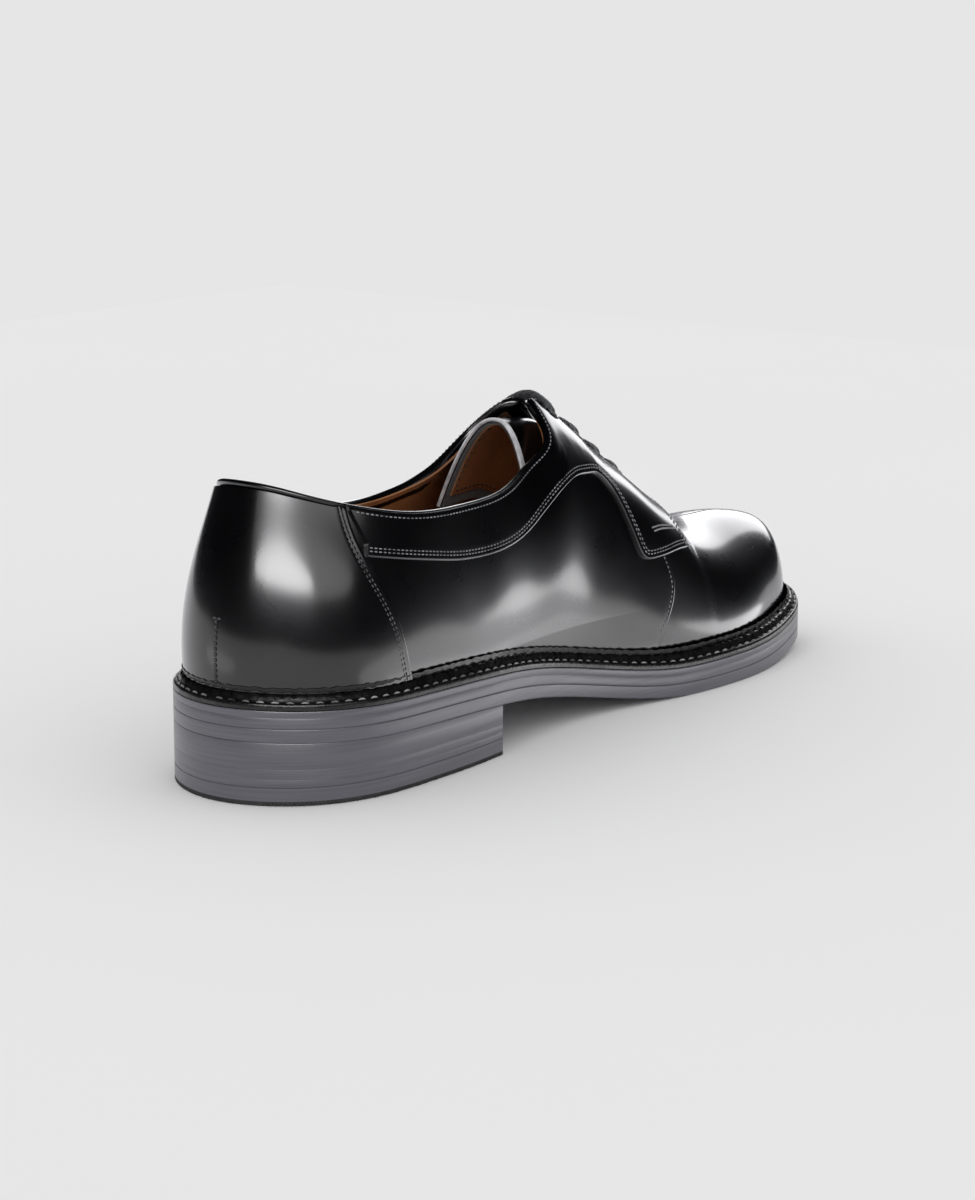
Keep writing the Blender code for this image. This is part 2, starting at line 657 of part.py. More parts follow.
def main():
    for obj in list(bpy.data.objects):
        bpy.data.objects.remove(obj, do_unlink=True)
    shoe = bpy.data.collections.new("derby_shoe")
    helpers = bpy.data.collections.new("cutters")
    for made in (shoe, helpers):
        bpy.context.scene.collection.children.link(made)
    helpers.hide_render = True

    leather = material("polished_black_leather", BLACK_LEATHER, 0.22)
    counter_leather = material("counter_leather", BLACK_LEATHER, 0.22)
    facing_leather = material("facing_leather", BLACK_LEATHER, 0.22)
    lining = material("tan_lining", LINING_TAN, 0.60)
    tongue_leather = material("tongue_leather", BLACK_LEATHER, 0.45)
    welt_edge = material("welt_leather", BLACK_LEATHER, 0.30)
    midsole_edge = material("midsole_edge", EDGE_BLACK, 0.42)
    outsole_edge = material("outsole_edge", EDGE_BLACK, 0.42)
    heel_edge = material("heel_edge", EDGE_BLACK, 0.45)
    rubber = material("top_piece_rubber", RUBBER_BLACK, 0.60)
    cotton = material("waxed_lace", LACE_GREY, 0.70)

    layer("top_piece", lambda x: 0 * x, lambda x: TOP_PIECE_THICKNESS + 0 * x, rubber, shoe, HEEL_LENGTH)
    layer(
        "heel_stack",
        lambda x: TOP_PIECE_THICKNESS + GAP + 0 * x,
        lambda x: underside(x) - 2 * GAP - TOP_PIECE_THICKNESS,
        heel_edge, shoe, HEEL_LENGTH,
    )
    layer("outsole", underside, lambda x: OUTSOLE_THICKNESS + 0 * x, outsole_edge, shoe)
    layer(
        "midsole",
        lambda x: underside(x) + OUTSOLE_TOP + GAP,
        lambda x: MIDSOLE_THICKNESS + 0 * x,
        midsole_edge, shoe,
    )
    welt_ring(welt_edge, shoe)

    def insole_inset(girth):
        return ledge(girth) + UPPER_WALL + 2 * GAP

    plate(
        "insole",
        [
            (lambda x: underside(x) + MIDSOLE_TOP + GAP, insole_inset),
            (lambda x: underside(x) + MIDSOLE_TOP + GAP + INSOLE_THICKNESS, insole_inset),
        ],
        lining, shoe,
    )
    upper_shell(leather, shoe)
    counter(counter_leather, shoe)
    facing("facing_medial", -1, facing_leather, shoe)
    facing("facing_lateral", 1, facing_leather, shoe)
    tongue(tongue_leather, shoe)
    lace(cotton, shoe, helpers)


main()
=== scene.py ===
"""Looks of the derby shoe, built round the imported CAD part. Metres, +Z up, +X to the toe."""

import bpy
import bmesh
import numpy as np
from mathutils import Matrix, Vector


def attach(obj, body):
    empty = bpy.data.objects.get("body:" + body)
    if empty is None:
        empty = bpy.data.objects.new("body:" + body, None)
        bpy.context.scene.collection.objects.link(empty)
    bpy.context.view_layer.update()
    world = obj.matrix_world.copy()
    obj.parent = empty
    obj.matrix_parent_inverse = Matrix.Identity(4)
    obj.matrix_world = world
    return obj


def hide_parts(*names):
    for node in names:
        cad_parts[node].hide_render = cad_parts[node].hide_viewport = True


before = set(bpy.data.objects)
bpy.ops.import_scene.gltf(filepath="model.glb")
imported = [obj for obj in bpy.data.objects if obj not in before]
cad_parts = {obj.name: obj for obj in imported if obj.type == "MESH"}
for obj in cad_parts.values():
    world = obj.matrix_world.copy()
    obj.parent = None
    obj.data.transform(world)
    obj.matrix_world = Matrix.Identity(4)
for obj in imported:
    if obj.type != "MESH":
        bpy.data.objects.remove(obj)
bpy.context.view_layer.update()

# Driving sizes, metres
SOLE_LENGTH = 0.302
BALL_WIDTH = 0.100
TOP_PIECE_THICKNESS = 0.0055
OUTSOLE_THICKNESS = 0.0042
MIDSOLE_THICKNESS = 0.0053
INSOLE_THICKNESS = 0.0030
HEEL_LENGTH = 0.0965
WELT_RIB = 0.0054
UPPER_WALL = 0.0022
THROAT_WIDTH = 0.0078
LACE_WIDTH = 0.0056
LACE_THICKNESS = 0.0022
GAP = 0.0003
OVERLAY_GAP = 0.00045

# Sole outline: share of the length, half widths as shares of the ball width
OUTLINE_COLUMNS = ("along", "medial", "lateral")
OUTLINE = (
    (0.040, 0.270, 0.270),
    (0.100, 0.372, 0.372),
    (0.190, 0.400, 0.400),
    (0.300, 0.388, 0.402),
    (0.400, 0.345, 0.412),
    (0.480, 0.325, 0.450),
    (0.550, 0.342, 0.500),
    (0.630, 0.392, 0.545),
    (0.710, 0.425, 0.560),
    (0.780, 0.428, 0.538),
    (0.845, 0.400, 0.480),
    (0.900, 0.352, 0.394),
    (0.948, 0.294, 0.282),
    (0.983, 0.198, 0.155),
)
TOE_TIP_OFFSET = -0.040  # share of the ball width, towards the medial side

# Underside of the outsole: share of the length, height as a share of the heel height
HEEL_HEIGHT = 0.0199
PROFILE_COLUMNS = ("along", "height")
PROFILE = (
    (0.00, 1.000),
    (0.15, 0.935),
    (0.30, 0.855),
    (0.37, 0.745),
    (0.44, 0.563),
    (0.51, 0.342),
    (0.58, 0.136),
    (0.64, 0.025),
    (0.69, 0.000),
    (0.77, 0.000),
    (0.84, 0.035),
    (0.90, 0.100),
    (0.95, 0.211),
    (1.00, 0.427),
)

# Width of the sole edge outside the upper's foot line: share of a side's girth, width
LEDGE_COLUMNS = ("girth", "width")
LEDGE = (
    (0.00, 0.0054),
    (0.45, 0.0054),
    (0.65, 0.0060),
    (0.85, 0.0062),
    (1.00, 0.0056),
)

# Upper, back to toe. Girth is the share of a side's foot line from the back (0) to the
# toe tip (1). Along is the place of the top line or instep ridge as a share of the sole
# length, and width and heights are shares of the instep height. Lean is the wall's tilt
# at the top in degrees, low and high its fullness, bulge its swell in metres.
INSTEP_HEIGHT = 0.1036
UPPER_COLUMNS = (
    "girth", "along", "medial_width", "lateral_width", "medial_height", "lateral_height",
    "lean", "low", "high", "bulge",
)
UPPER = (
    (0.000, 0.0530, 0.000, 0.000, 0.930, 0.930, 16, 0.42, 0.30, 0.0036),
    (0.070, 0.0629, 0.101, 0.101, 0.919, 0.919, 16, 0.42, 0.30, 0.0036),
    (0.150, 0.1026, 0.203, 0.203, 0.874, 0.869, 16, 0.42, 0.30, 0.0032),
    (0.240, 0.1921, 0.290, 0.280, 0.811, 0.777, 12, 0.40, 0.30, 0.0024),
    (0.330, 0.2914, 0.280, 0.270, 0.792, 0.729, 12, 0.38, 0.28, 0.0020),
    (0.410, 0.3808, 0.241, 0.251, 0.806, 0.732, 22, 0.38, 0.30, 0.0024),
    (0.460, 0.4437, 0.193, 0.193, 0.854, 0.801, 40, 0.40, 0.34, 0.0030),
    (0.500, 0.4901, 0.150, 0.140, 0.931, 0.910, 54, 0.44, 0.38, 0.0034),
    (0.530, 0.5132, 0.036, 0.036, 1.010, 1.004, 66, 0.48, 0.42, 0.0036),
    (0.570, 0.5563, 0.038, 0.038, 0.930, 0.930, 72, 0.52, 0.46, 0.0036),
    (0.630, 0.6291, 0.038, 0.038, 0.777, 0.777, 80, 0.54, 0.50, 0.0034),
    (0.680, 0.6821, 0.038, 0.038, 0.666, 0.666, 90, 0.55, 0.54, 0.0030),
    (0.730, 0.7417, 0.000, 0.000, 0.563, 0.563, 90, 0.56, 0.56, 0.0026),
    (0.800, 0.8212, 0.000, 0.000, 0.494, 0.494, 90, 0.56, 0.60, 0.0024),
    (0.860, 0.8907, 0.000, 0.000, 0.486, 0.486, 90, 0.56, 0.62, 0.0024),
    (0.910, 0.9470, 0.000, 0.000, 0.463, 0.463, 90, 0.56, 0.60, 0.0022),
    (0.960, 0.9830, 0.000, 0.000, 0.372, 0.372, 90, 0.56, 0.58, 0.0012),
)
TOE_SWELL_HEIGHT = 0.014  # a wall lower than this swells less
THROAT_BACK = 0.57  # girth share from which the throat has its own width
THROAT_FRONT = 0.700  # girth share where the throat starts to close
THROAT_END = 0.720  # girth share where the vamp is whole
BLEND = 0.02  # girth share over which the wall's shape runs from row to row

# Front edge of the heel counter: height share of the wall, girth share
COUNTER_COLUMNS = ("up", "girth")
COUNTER_EDGE = (
    (0.00, 0.216),
    (0.17, 0.208),
    (0.36, 0.200),
    (0.57, 0.186),
    (0.80, 0.173),
    (1.00, 0.170),
)

# Lower edge of the collar band and facing, from the counter to its front corner
FACING_COLUMNS = ("girth", "up", "top_girth")
FACING_EDGE = (
    (0.181, 0.715, 0.173),
    (0.245, 0.707, 0.245),
    (0.300, 0.667, 0.300),
    (0.350, 0.656, 0.350),
    (0.400, 0.676, 0.405),
    (0.438, 0.710, 0.450),
    (0.464, 0.740, 0.482),
    (0.487, 0.730, 0.504),
    (0.506, 0.678, 0.517),
    (0.524, 0.632, 0.530),
    (0.544, 0.620, 0.545),
    (0.560, 0.638, 0.560),
    (0.572, 0.636, 0.576),
    (0.582, 0.600, 0.590),
    (0.589, 0.512, 0.602),
    (0.595, 0.420, 0.613),
    (0.602, 0.358, 0.625),
    (0.618, 0.364, 0.642),
    (0.643, 0.397, 0.662),
    (0.668, 0.437, 0.682),
    (0.695, 0.482, 0.700),
)

# Tongue: place of its ridge as a share of the sole length, height and drop of its edges
# as shares of the instep height, half width as a share of the ball width
TONGUE_COLUMNS = ("along", "height", "half_width", "drop")
TONGUE = (
    (0.4670, 0.970, 0.200, 0.300),
    (0.4970, 0.963, 0.208, 0.290),
    (0.5298, 0.945, 0.218, 0.272),
    (0.5795, 0.845, 0.223, 0.215),
    (0.6291, 0.746, 0.218, 0.140),
    (0.6788, 0.643, 0.198, 0.108),
    (0.7219, 0.555, 0.177, 0.085),
)
TONGUE_CURL = 0.006

LACE_BARS = 4
LACE_FIRST = 0.546
LACE_PITCH = 0.0340
LACE_FALL = -0.6  # slope of the instep along which the bars lie flat


def column(table, names, name):
    index = names.index(name)
    return np.array([row[index] for row in table], float)


def columns_of(table, names):
    return [column(table, names, name) for name in names]


def smooth(share):
    share = np.clip(share, 0, 1)
    return share * share * (3 - 2 * share)


def side_name(side):
    return "medial" if side < 0 else "lateral"


def both_sides(half, sign=-1):
    """Values from the back to the toe, run from the medial toe through the back to the lateral toe."""
    return np.concatenate((sign * half[::-1], half[1:]))


def unit(vectors):
    return vectors / np.linalg.norm(vectors, axis=-1, keepdims=True)


BENDS = {}


def bends_of(knots, values, period):
    """Second derivatives at the knots of a cubic spline, kept for the next time."""
    key = (knots.tobytes(), values.tobytes(), period)
    if key in BENDS:
        return BENDS[key]
    count = len(knots)
    closed = period is not None
    spans = np.diff(np.append(knots, knots[0] + period)) if closed else np.diff(knots)
    slopes = (np.roll(values, -1)[: len(spans)] - values[: len(spans)]) / spans
    matrix = np.eye(count)
    right = np.zeros(count)
    for i in range(0 if closed else 1, count if closed else count - 1):
        matrix[i] = 0.0
        matrix[i, i - 1] += spans[i - 1]
        matrix[i, i] += 2 * (spans[i - 1] + spans[i])
        matrix[i, (i + 1) % count] += spans[i]
        right[i] = 6 * (slopes[i] - slopes[i - 1])
    BENDS[key] = (spans, np.linalg.solve(matrix, right))
    return BENDS[key]


def spline(knots, values, at, period=None):
    """Cubic spline through the values: natural at its ends, or closed over a period."""
    knots = np.asarray(knots, float)
    values = np.asarray(values, float)
    at = np.asarray(at, float)
    spans, bends = bends_of(knots, values, period)
    if period is not None:
        at = (at - knots[0]) % period + knots[0]
    i = np.clip(np.searchsorted(knots, at, side="right") - 1, 0, len(spans) - 1)
    j = (i + 1) % len(knots)
    span = spans[i]
    a = at - knots[i]
    b = span - a
    bend = (bends[i] * b**3 + bends[j] * a**3) / (6 * span)
    start = (values[i] / span - bends[i] * span / 6) * b
    return bend + start + (values[j] / span - bends[j] * span / 6) * a


# Plan of the sole, run from the back along the medial side, round the toe and home
along, medial, lateral = columns_of(OUTLINE, OUTLINE_COLUMNS)
along = along * SOLE_LENGTH
medial = medial * BALL_WIDTH
lateral = lateral * BALL_WIDTH
PLAN_X = np.concatenate(([0.0], along, [SOLE_LENGTH], along[::-1]))
PLAN_Y = np.concatenate(([0.0], -medial, [TOE_TIP_OFFSET * BALL_WIDTH], lateral[::-1]))
PLAN_STEPS = np.hypot(np.diff(PLAN_X, append=PLAN_X[0]), np.diff(PLAN_Y, append=PLAN_Y[0]))
PLAN_KNOTS = np.concatenate(([0.0], np.cumsum(PLAN_STEPS)[:-1]))
PLAN_PERIOD = PLAN_STEPS.sum()
TIP_KNOT = PLAN_KNOTS[len(OUTLINE) + 1]


def plan(place, inset=0.0):
    """Point and outward direction of the sole's outline, moved inwards by the inset."""
    x = spline(PLAN_KNOTS, PLAN_X, place, PLAN_PERIOD)
    y = spline(PLAN_KNOTS, PLAN_Y, place, PLAN_PERIOD)
    step = 1e-4
    dx = spline(PLAN_KNOTS, PLAN_X, place + step, PLAN_PERIOD)
    dx -= spline(PLAN_KNOTS, PLAN_X, place - step, PLAN_PERIOD)
    dy = spline(PLAN_KNOTS, PLAN_Y, place + step, PLAN_PERIOD)
    dy -= spline(PLAN_KNOTS, PLAN_Y, place - step, PLAN_PERIOD)
    length = np.hypot(dx, dy)
    out = np.stack((dy / length, -dx / length), axis=-1)
    point = np.stack((x, y), axis=-1) - out * np.asarray(inset)[..., None]
    return point, out


FOOTPRINT, _ = plan(np.linspace(0, PLAN_PERIOD, 2000))
CENTRE = (FOOTPRINT.min(axis=0) + FOOTPRINT.max(axis=0)) / 2


def plan_place(side, girth):
    """Place on the outline of a girth share of the medial (-1) or lateral (+1) side."""
    if side < 0:
        return girth * TIP_KNOT
    return PLAN_PERIOD - girth * (PLAN_PERIOD - TIP_KNOT)


def underside(x):
    rise = spline(*columns_of(PROFILE, PROFILE_COLUMNS), np.asarray(x) / SOLE_LENGTH)
    return HEEL_HEIGHT * np.maximum(rise, 0.0)


OUTSOLE_TOP = OUTSOLE_THICKNESS
MIDSOLE_TOP = OUTSOLE_TOP + GAP + MIDSOLE_THICKNESS


def ledge(girth):
    return np.interp(np.abs(girth), *columns_of(LEDGE, LEDGE_COLUMNS))


def on_sole(point, high=0.0):
    """Points of the plan set on top of the sole, or a height over it."""
    height = underside(point[..., 0]) + MIDSOLE_TOP + GAP + high
    return np.concatenate((point, height[..., None]), axis=-1)


def foot_line(side, girth):
    """Foot of the upper's outside, and the way out of the shoe there."""
    point, out = plan(plan_place(side, girth), ledge(girth))
    return on_sole(point), out


def upper_column(name, girth, toe, mirrored=1.0):
    """A column of the upper's table, run through the back so that the two sides meet smoothly."""
    girths = column(UPPER, UPPER_COLUMNS, "girth")
    values = column(UPPER, UPPER_COLUMNS, name)
    knots = np.concatenate((-girths[3:0:-1], girths, [1.0]))
    return spline(knots, np.concatenate((mirrored * values[3:0:-1], values, [toe])), girth)


def wall_shape(name, girth):
    """A column of the upper's table that shapes the wall, eased from row to row."""
    girths = column(UPPER, UPPER_COLUMNS, "girth")
    values = column(UPPER, UPPER_COLUMNS, name)
    shifts = np.linspace(-BLEND, BLEND, 9)
    return sum(np.interp(np.abs(girth + shift), girths, values) for shift in shifts) / len(shifts)


def upper_wall(side, girth, up):
    """Points of the last surface, from the upper's foot (0) to its top or ridge (1), and their slope."""
    name = side_name(side)
    foot, out = foot_line(side, girth)
    tip, _ = foot_line(side, np.ones(1))
    x = upper_column("along", girth, tip[0, 0] / SOLE_LENGTH) * SOLE_LENGTH
    y = upper_column(name + "_width", girth, 0.0, -1.0) * INSTEP_HEIGHT
    z = upper_column(name + "_height", girth, tip[0, 2] / INSTEP_HEIGHT) * INSTEP_HEIGHT
    throat = THROAT_WIDTH / 2 * (1 - smooth((girth - THROAT_FRONT) / (THROAT_END - THROAT_FRONT)))
    y = np.where(girth > THROAT_BACK, throat, y)
    top = np.stack((x, side * y + tip[0, 1] * smooth((girth - 0.85) / 0.15), z), axis=-1)
    lean = np.radians(wall_shape("lean", girth))
    low = wall_shape("low", girth)
    high = wall_shape("high", girth)
    bulge = wall_shape("bulge", girth)
    tall = top[..., 2] - foot[..., 2]
    wide = np.hypot(top[..., 0] - foot[..., 0], top[..., 1] - foot[..., 1])
    turn = smooth((girth - 0.25) / 0.25)[..., None]
    away = unit((1 - turn) * out + turn * np.array([0.0, side]))
    bulge = bulge * np.clip(tall / TOE_SWELL_HEIGHT, 0, 1)
    swell = np.stack((out[..., 0] * bulge, out[..., 1] * bulge, low * tall), axis=-1)
    reach = high * (np.cos(lean) * tall + np.sin(lean) * wide)
    fall = np.stack(
        (away[..., 0] * np.sin(lean), away[..., 1] * np.sin(lean), -np.cos(lean)), axis=-1
    )
    first = foot + swell
    second = top + fall * reach[..., None]
    u = up[..., None]
    point = (1 - u) ** 3 * foot + 3 * (1 - u) ** 2 * u * first
    point = point + 3 * (1 - u) * u**2 * second + u**3 * top
    slope = (1 - u) ** 2 * (first - foot) + 2 * (1 - u) * u * (second - first)
    return point, slope + u**2 * (top - second)


def upper_point(side, girth, up, offset=0.0):
    """Point of the upper's surface, moved out of the shoe by the offset."""
    girth, up = np.broadcast_arrays(np.asarray(girth, float), np.asarray(up, float))
    point, above = upper_wall(side, girth, up)
    step = 1e-3
    ahead = upper_wall(side, np.minimum(girth + step, 0.9995), up)[0]
    ahead -= upper_wall(side, np.minimum(girth, 0.9995) - step, up)[0]
    normal = side * -np.cross(ahead, above)
    length = np.linalg.norm(normal, axis=-1, keepdims=True)
    normal = np.where(length > 1e-12, normal / np.maximum(length, 1e-12), (1.0, 0.0, 0.0))
    normal = np.where((girth > 0.999)[..., None], (1.0, 0.0, 0.0), normal)
    return point + normal * np.asarray(offset)[..., None]


# Looks: places on the surface as (girth share, height share), sizes in metres
SEAM_COLUMNS = ("up", "girth")
SEAM = (
    (0.00, 0.606),
    (0.07, 0.619),
    (0.18, 0.637),
    (0.28, 0.648),
    (0.38, 0.646),
    (0.48, 0.640),
    (1.00, 0.640),
)
SEAM_MIDDLE = 0.640
SEAM_SEWN = (0.10, 0.42)  # height shares between which its stitches run
SEAM_REACH = 0.06  # girth share over which the upper's columns bend to follow the seam
# Where the wall is eased: girth steps with their shares, round a girth and below a height share
EASE_WINDOW = ((-0.034, 0.12), (-0.017, 0.23), (0.0, 0.30), (0.017, 0.23), (0.034, 0.12))
EASE_GIRTH = 0.505
EASE_REACH = 0.080
EASE_UP = 0.74
EASE_FADE = 0.24
QUARTER_STEP = 0.00034
UPPER_SKIN = 0.0009
BODY_GRID = (66, 150, 26, 84)  # rows; columns behind the seam, beside the throat, round the toe
LINING_GRID = (48, 110, 36)  # rows; columns beside the opening, round the toe
LINING_CUT = 0.07  # height share by which the lining stops short of the throat's edge
COUNTER_THICKNESS = 0.0012
COUNTER_CURVES = 112
COUNTER_LOW = 0.06  # height share where the counter's leather starts, behind the welt
FACING_THICKNESS = 0.0012
FACING_CURVES = 34
FACING_FRONT = (0.006, 0.998)  # how far the front edge leans in girth, and its height at the throat
TOPLINE_FADE = 0.0012
TOPLINE_SHARE = 0.55
EDGE_EASE = 5  # points either side over which the facing's cut line is eased
PEAK_EASE = 26  # the same round the peak of the line
PEAK_GIRTH = 0.495
PEAK_REACH = 0.055

# Edge of a sewn leather piece: distance in from its cut edge, height share
CUT_EDGE = (
    (0.00000, -0.10),
    (0.00002, 0.45),
    (0.00010, 0.74),
    (0.00024, 0.92),
    (0.00048, 1.00),
    (0.00110, 1.00),
    (0.00145, 0.97),
    (0.00170, 0.93),
    (0.00195, 0.97),
    (0.00225, 0.99),
    (0.00250, 0.97),
    (0.00275, 0.93),
    (0.00300, 0.97),
    (0.00340, 1.00),
    (0.00420, 1.00),
)
STITCH_ROWS = (0.00170, 0.00275)
STITCH_GROOVE = (0.0022, 0.0036)  # the second row's groove, left out of the side seam's edge
STITCH = (0.00175, 0.00120, 0.00022)  # pitch, length, radius
STITCH_SIDES = 6
# One stitch: place from its middle to its ends, thickness, height over the leather in radii
STITCH_COLUMNS = ("station", "thick", "lift")
STITCH_SHAPE = (
    (-1.00, 0.35, -1.30),
    (-0.86, 0.85, -0.35),
    (-0.45, 1.00, 0.25),
    (0.00, 1.00, 0.40),
    (0.45, 1.00, 0.25),
    (0.86, 0.85, -0.35),
    (1.00, 0.35, -1.30),
)
TOPLINE_STITCH = 0.0017
TOPLINE_SEWN = (0.178, 0.69)  # girth shares between which its row runs
WELT_STITCH = (0.0046, 0.0027, 0.00042)

# Section of the welt with its stitch channel and two storm ribs
WELT_SECTION_COLUMNS = ("across", "height")
WELT_SECTION = (
    (0.000, 0.02),
    (0.000, 0.20),
    (0.015, 0.30),
    (0.050, 0.38),
    (0.100, 0.42),
    (0.150, 0.40),
    (0.190, 0.36),
    (0.240, 0.36),
    (0.290, 0.42),
    (0.340, 0.52),
    (0.400, 0.68),
    (0.460, 0.78),
    (0.520, 0.82),
    (0.580, 0.77),
    (0.630, 0.68),
    (0.670, 0.66),
    (0.710, 0.74),
    (0.760, 0.92),
    (0.820, 1.08),
    (0.885, 1.18),
    (0.940, 1.16),
)
WELT_GATHER = 0.00026  # height of the puckers pulled up by the welt's stitches
WELT_DRIFT = 0.031  # run over which the puckers drift
WELT_BEAT = 0.0127  # run over which they grow and fade
LEAN_BULGE = 0.010  # swell of the upper that would lean the rib by its own height
LEAN_LIMITS = (0.10, 0.32)
WELT_POINTS = 620
WELT_STITCH_ACROSS = 0.21
WELT_STITCH_HEIGHT = 0.40

# Edge of a sole layer: height share, inset in metres
LAYER_EDGE = (
    (0.00, 0.00012),
    (0.03, 0.00003),
    (0.08, 0.00000),
    (0.92, 0.00000),
    (0.97, 0.00003),
    (1.00, 0.00012),
)
# The same for the midsole, with one fine line round its upper half
MIDSOLE_EDGE = LAYER_EDGE[:3] + (
    (0.59, 0.00000),
    (0.61, 0.00005),
    (0.63, 0.00000),
) + LAYER_EDGE[3:]
SIDE_POINTS = 1500  # points along a side of the outline
SEALED = 0.00009  # gap left between the layers, as a dark glue line
HEEL_LIFTS = (0.19, 0.42)  # height shares of the lift lines of the heel
LIFT_GROOVE = 0.00005
# Section of a lift line: height share from its middle, share of the groove
LIFT_SECTION = ((-0.014, 0.0), (-0.006, 0.6), (0.0, 1.0), (0.006, 0.6), (0.014, 0.0))
GLUE_BELOW = 0.0004
GLUE_HEIGHT = 0.0012
GLUE_INSET = 0.00035
INSOLE_SIDE = ((0.0, 0.0084), (0.8, 0.0084), (1.0, 0.0092))  # height share, inset
TREAD_PITCH = 0.0013
TREAD_DEPTH = 0.00045
TREAD_HEIGHT = 0.0013


def last_point(girth, up, offset):
    near = upper_point(-1, np.abs(girth), up, offset)
    far = upper_point(1, np.abs(girth), up, offset)
    return np.where((girth < 0)[..., None], near, far)


def surf(girth, up, offset=0.0):
    """Point of the upper's surface, eased under the throat; girth below 0 is the medial side."""
    girth, up, offset = np.broadcast_arrays(
        np.asarray(girth, float), np.asarray(up, float), np.asarray(offset, float)
    )
    points = last_point(girth, up, offset)
    pull = np.exp(-(((np.abs(girth) - EASE_GIRTH) / EASE_REACH) ** 4))
    pull = pull * (1 - smooth((up - EASE_UP) / EASE_FADE))
    near = pull > 0.01
    if near.any():
        eased = sum(
            share * last_point(girth[near] + step, up[near], offset[near]) for step, share in EASE_WINDOW
        )
        points[near] += (eased - points[near]) * pull[near][:, None]
    return points


def run_of(points):
    """Distance along a path at each of its points."""
    return np.concatenate(([0.0], np.cumsum(np.linalg.norm(np.diff(points, axis=0), axis=1))))


def linked(name, data):
    obj = bpy.data.objects.new(name, data)
    bpy.context.scene.collection.objects.link(obj)
    return obj


def put(name, points, faces, finish, node=None, sharp=50, turned=True):
    """A mesh piece of the shoe from points in the sole's own frame."""
    mesh = bpy.data.meshes.new(name)
    mesh.from_pydata((np.asarray(points) - (*CENTRE, 0.0)).tolist(), [], faces)
    if turned:
        work = bmesh.new()
        work.from_mesh(mesh)
        bmesh.ops.remove_doubles(work, verts=work.verts, dist=4e-6)
        bmesh.ops.recalc_face_normals(work, faces=work.faces)
        work.to_mesh(mesh)
        work.free()
    mesh.materials.append(finish)
    mesh.shade_smooth()
    mesh.set_sharp_from_angle(angle=np.radians(sharp))
    obj = linked(name, mesh)
    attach(obj, "root")
    if node:
        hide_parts(node)
    return obj


def grid_faces(rows, columns, start=0, round_rows=False, round_columns=False):
    faces = []
    for i in range(rows if round_rows else rows - 1):
        k = (i + 1) % rows
        for j in range(columns if round_columns else columns - 1):
            m = (j + 1) % columns
            faces.append(
                (start + i * columns + j, start + i * columns + m,
                 start + k * columns + m, start + k * columns + j)
            )
    return faces


def tube_faces(rows, sides, low):
    """Faces of a tube of rings, with its two ends closed."""
    last = low + (rows - 1) * sides
    ends = [tuple(range(low, low + sides)), tuple(range(last + sides - 1, last - 1, -1))]
    return grid_faces(rows, sides, low, False, True) + ends


def put_sheet(name, inner, outer, finish, node=None):
    """A closed sheet between two like grids."""
    rows, columns = inner.shape[:2]
    points = np.concatenate((inner.reshape(-1, 3), outer.reshape(-1, 3)))
    under = rows * columns
    faces = grid_faces(rows, columns) + grid_faces(rows, columns, under)
    last = (rows - 1) * columns
    for j in range(columns - 1):
        faces.append((j, j + 1, under + j + 1, under + j))
        faces.append((last + j, last + j + 1, under + last + j + 1, under + last + j))
    for i in range(rows - 1):
        a = i * columns
        b = a + columns
        faces.append((a, b, under + b, under + a))
        faces.append((a + columns - 1, b + columns - 1, under + b + columns - 1, under + a + columns - 1))
    return put(name, points, faces, finish, node)


def table_curve(table, names, wanted, count):
    """Columns of a table run through a smooth curve of this many points."""
    place = np.linspace(0, len(table) - 1, count)
    knots = np.arange(len(table))
    return [spline(knots, column(table, names, name), place) for name in wanted]


def even(edge, count):
    """The same edge, (girth, up) in rows, at points evenly spaced on the surface."""
    points = surf(edge[:, 0], edge[:, 1])
    run = run_of(points)
    at = np.linspace(0, run[-1], count)
    return np.stack([np.interp(at, run, edge[:, i]) for i in range(edge.shape[1])], axis=1)


def insets(edge, distances, way):
    """The edge moved across the surface by each distance in turn, to the left (1) or right (-1)."""
    curves = []
    done = 0.0
    edge = edge.copy()
    for distance in distances:
        left = distance - done
        steps = int(np.ceil(left / 0.0003))
        for _ in range(steps):
            girth, up = edge.T
            step = 1e-3
            across = (surf(girth + step, up) - surf(girth - step, up)) / (2 * step)
            above = (surf(girth, up + step) - surf(girth, up - step)) / (2 * step)
            turn = np.gradient(edge, axis=0)
            run = turn[:, :1] * across + turn[:, 1:] * above
            inward = way * np.cross(np.cross(across, above), run)
            inward = unit(inward) * (left / steps)
            aa = (across * across).sum(axis=1)
            ab = (across * above).sum(axis=1)
            bb = (above * above).sum(axis=1)
            ra = (inward * across).sum(axis=1)
            rb = (inward * above).sum(axis=1)
            size = aa * bb - ab * ab
            edge += np.stack(((ra * bb - rb * ab) / size, (rb * aa - ra * ab) / size), axis=1)
            edge[1:-1] = 0.5 * edge[1:-1] + 0.25 * (edge[:-2] + edge[2:])
        done = distance
        curves.append(edge.copy())
    return curves


def metres_up(girth):
    """Metres to a height share of the wall, just under the topline."""
    return np.linalg.norm(surf(girth, 1.0) - surf(girth, 0.8), axis=-1) / 0.2


def rolled_edge(edge, side):
    """Curves in from a cut edge, and the height share of each."""
    return insets(edge, [inward for inward, _ in CUT_EDGE], side), [share for _, share in CUT_EDGE]


def topline(girth, up):
    """Height share of an overlay that thins towards the topline."""
    away = (1 - np.clip(up, 0, 1)) * metres_up(girth) / TOPLINE_FADE
    return TOPLINE_SHARE + (1 - TOPLINE_SHARE) * np.sqrt(1 - (1 - np.clip(away, 0, 1)) ** 2)


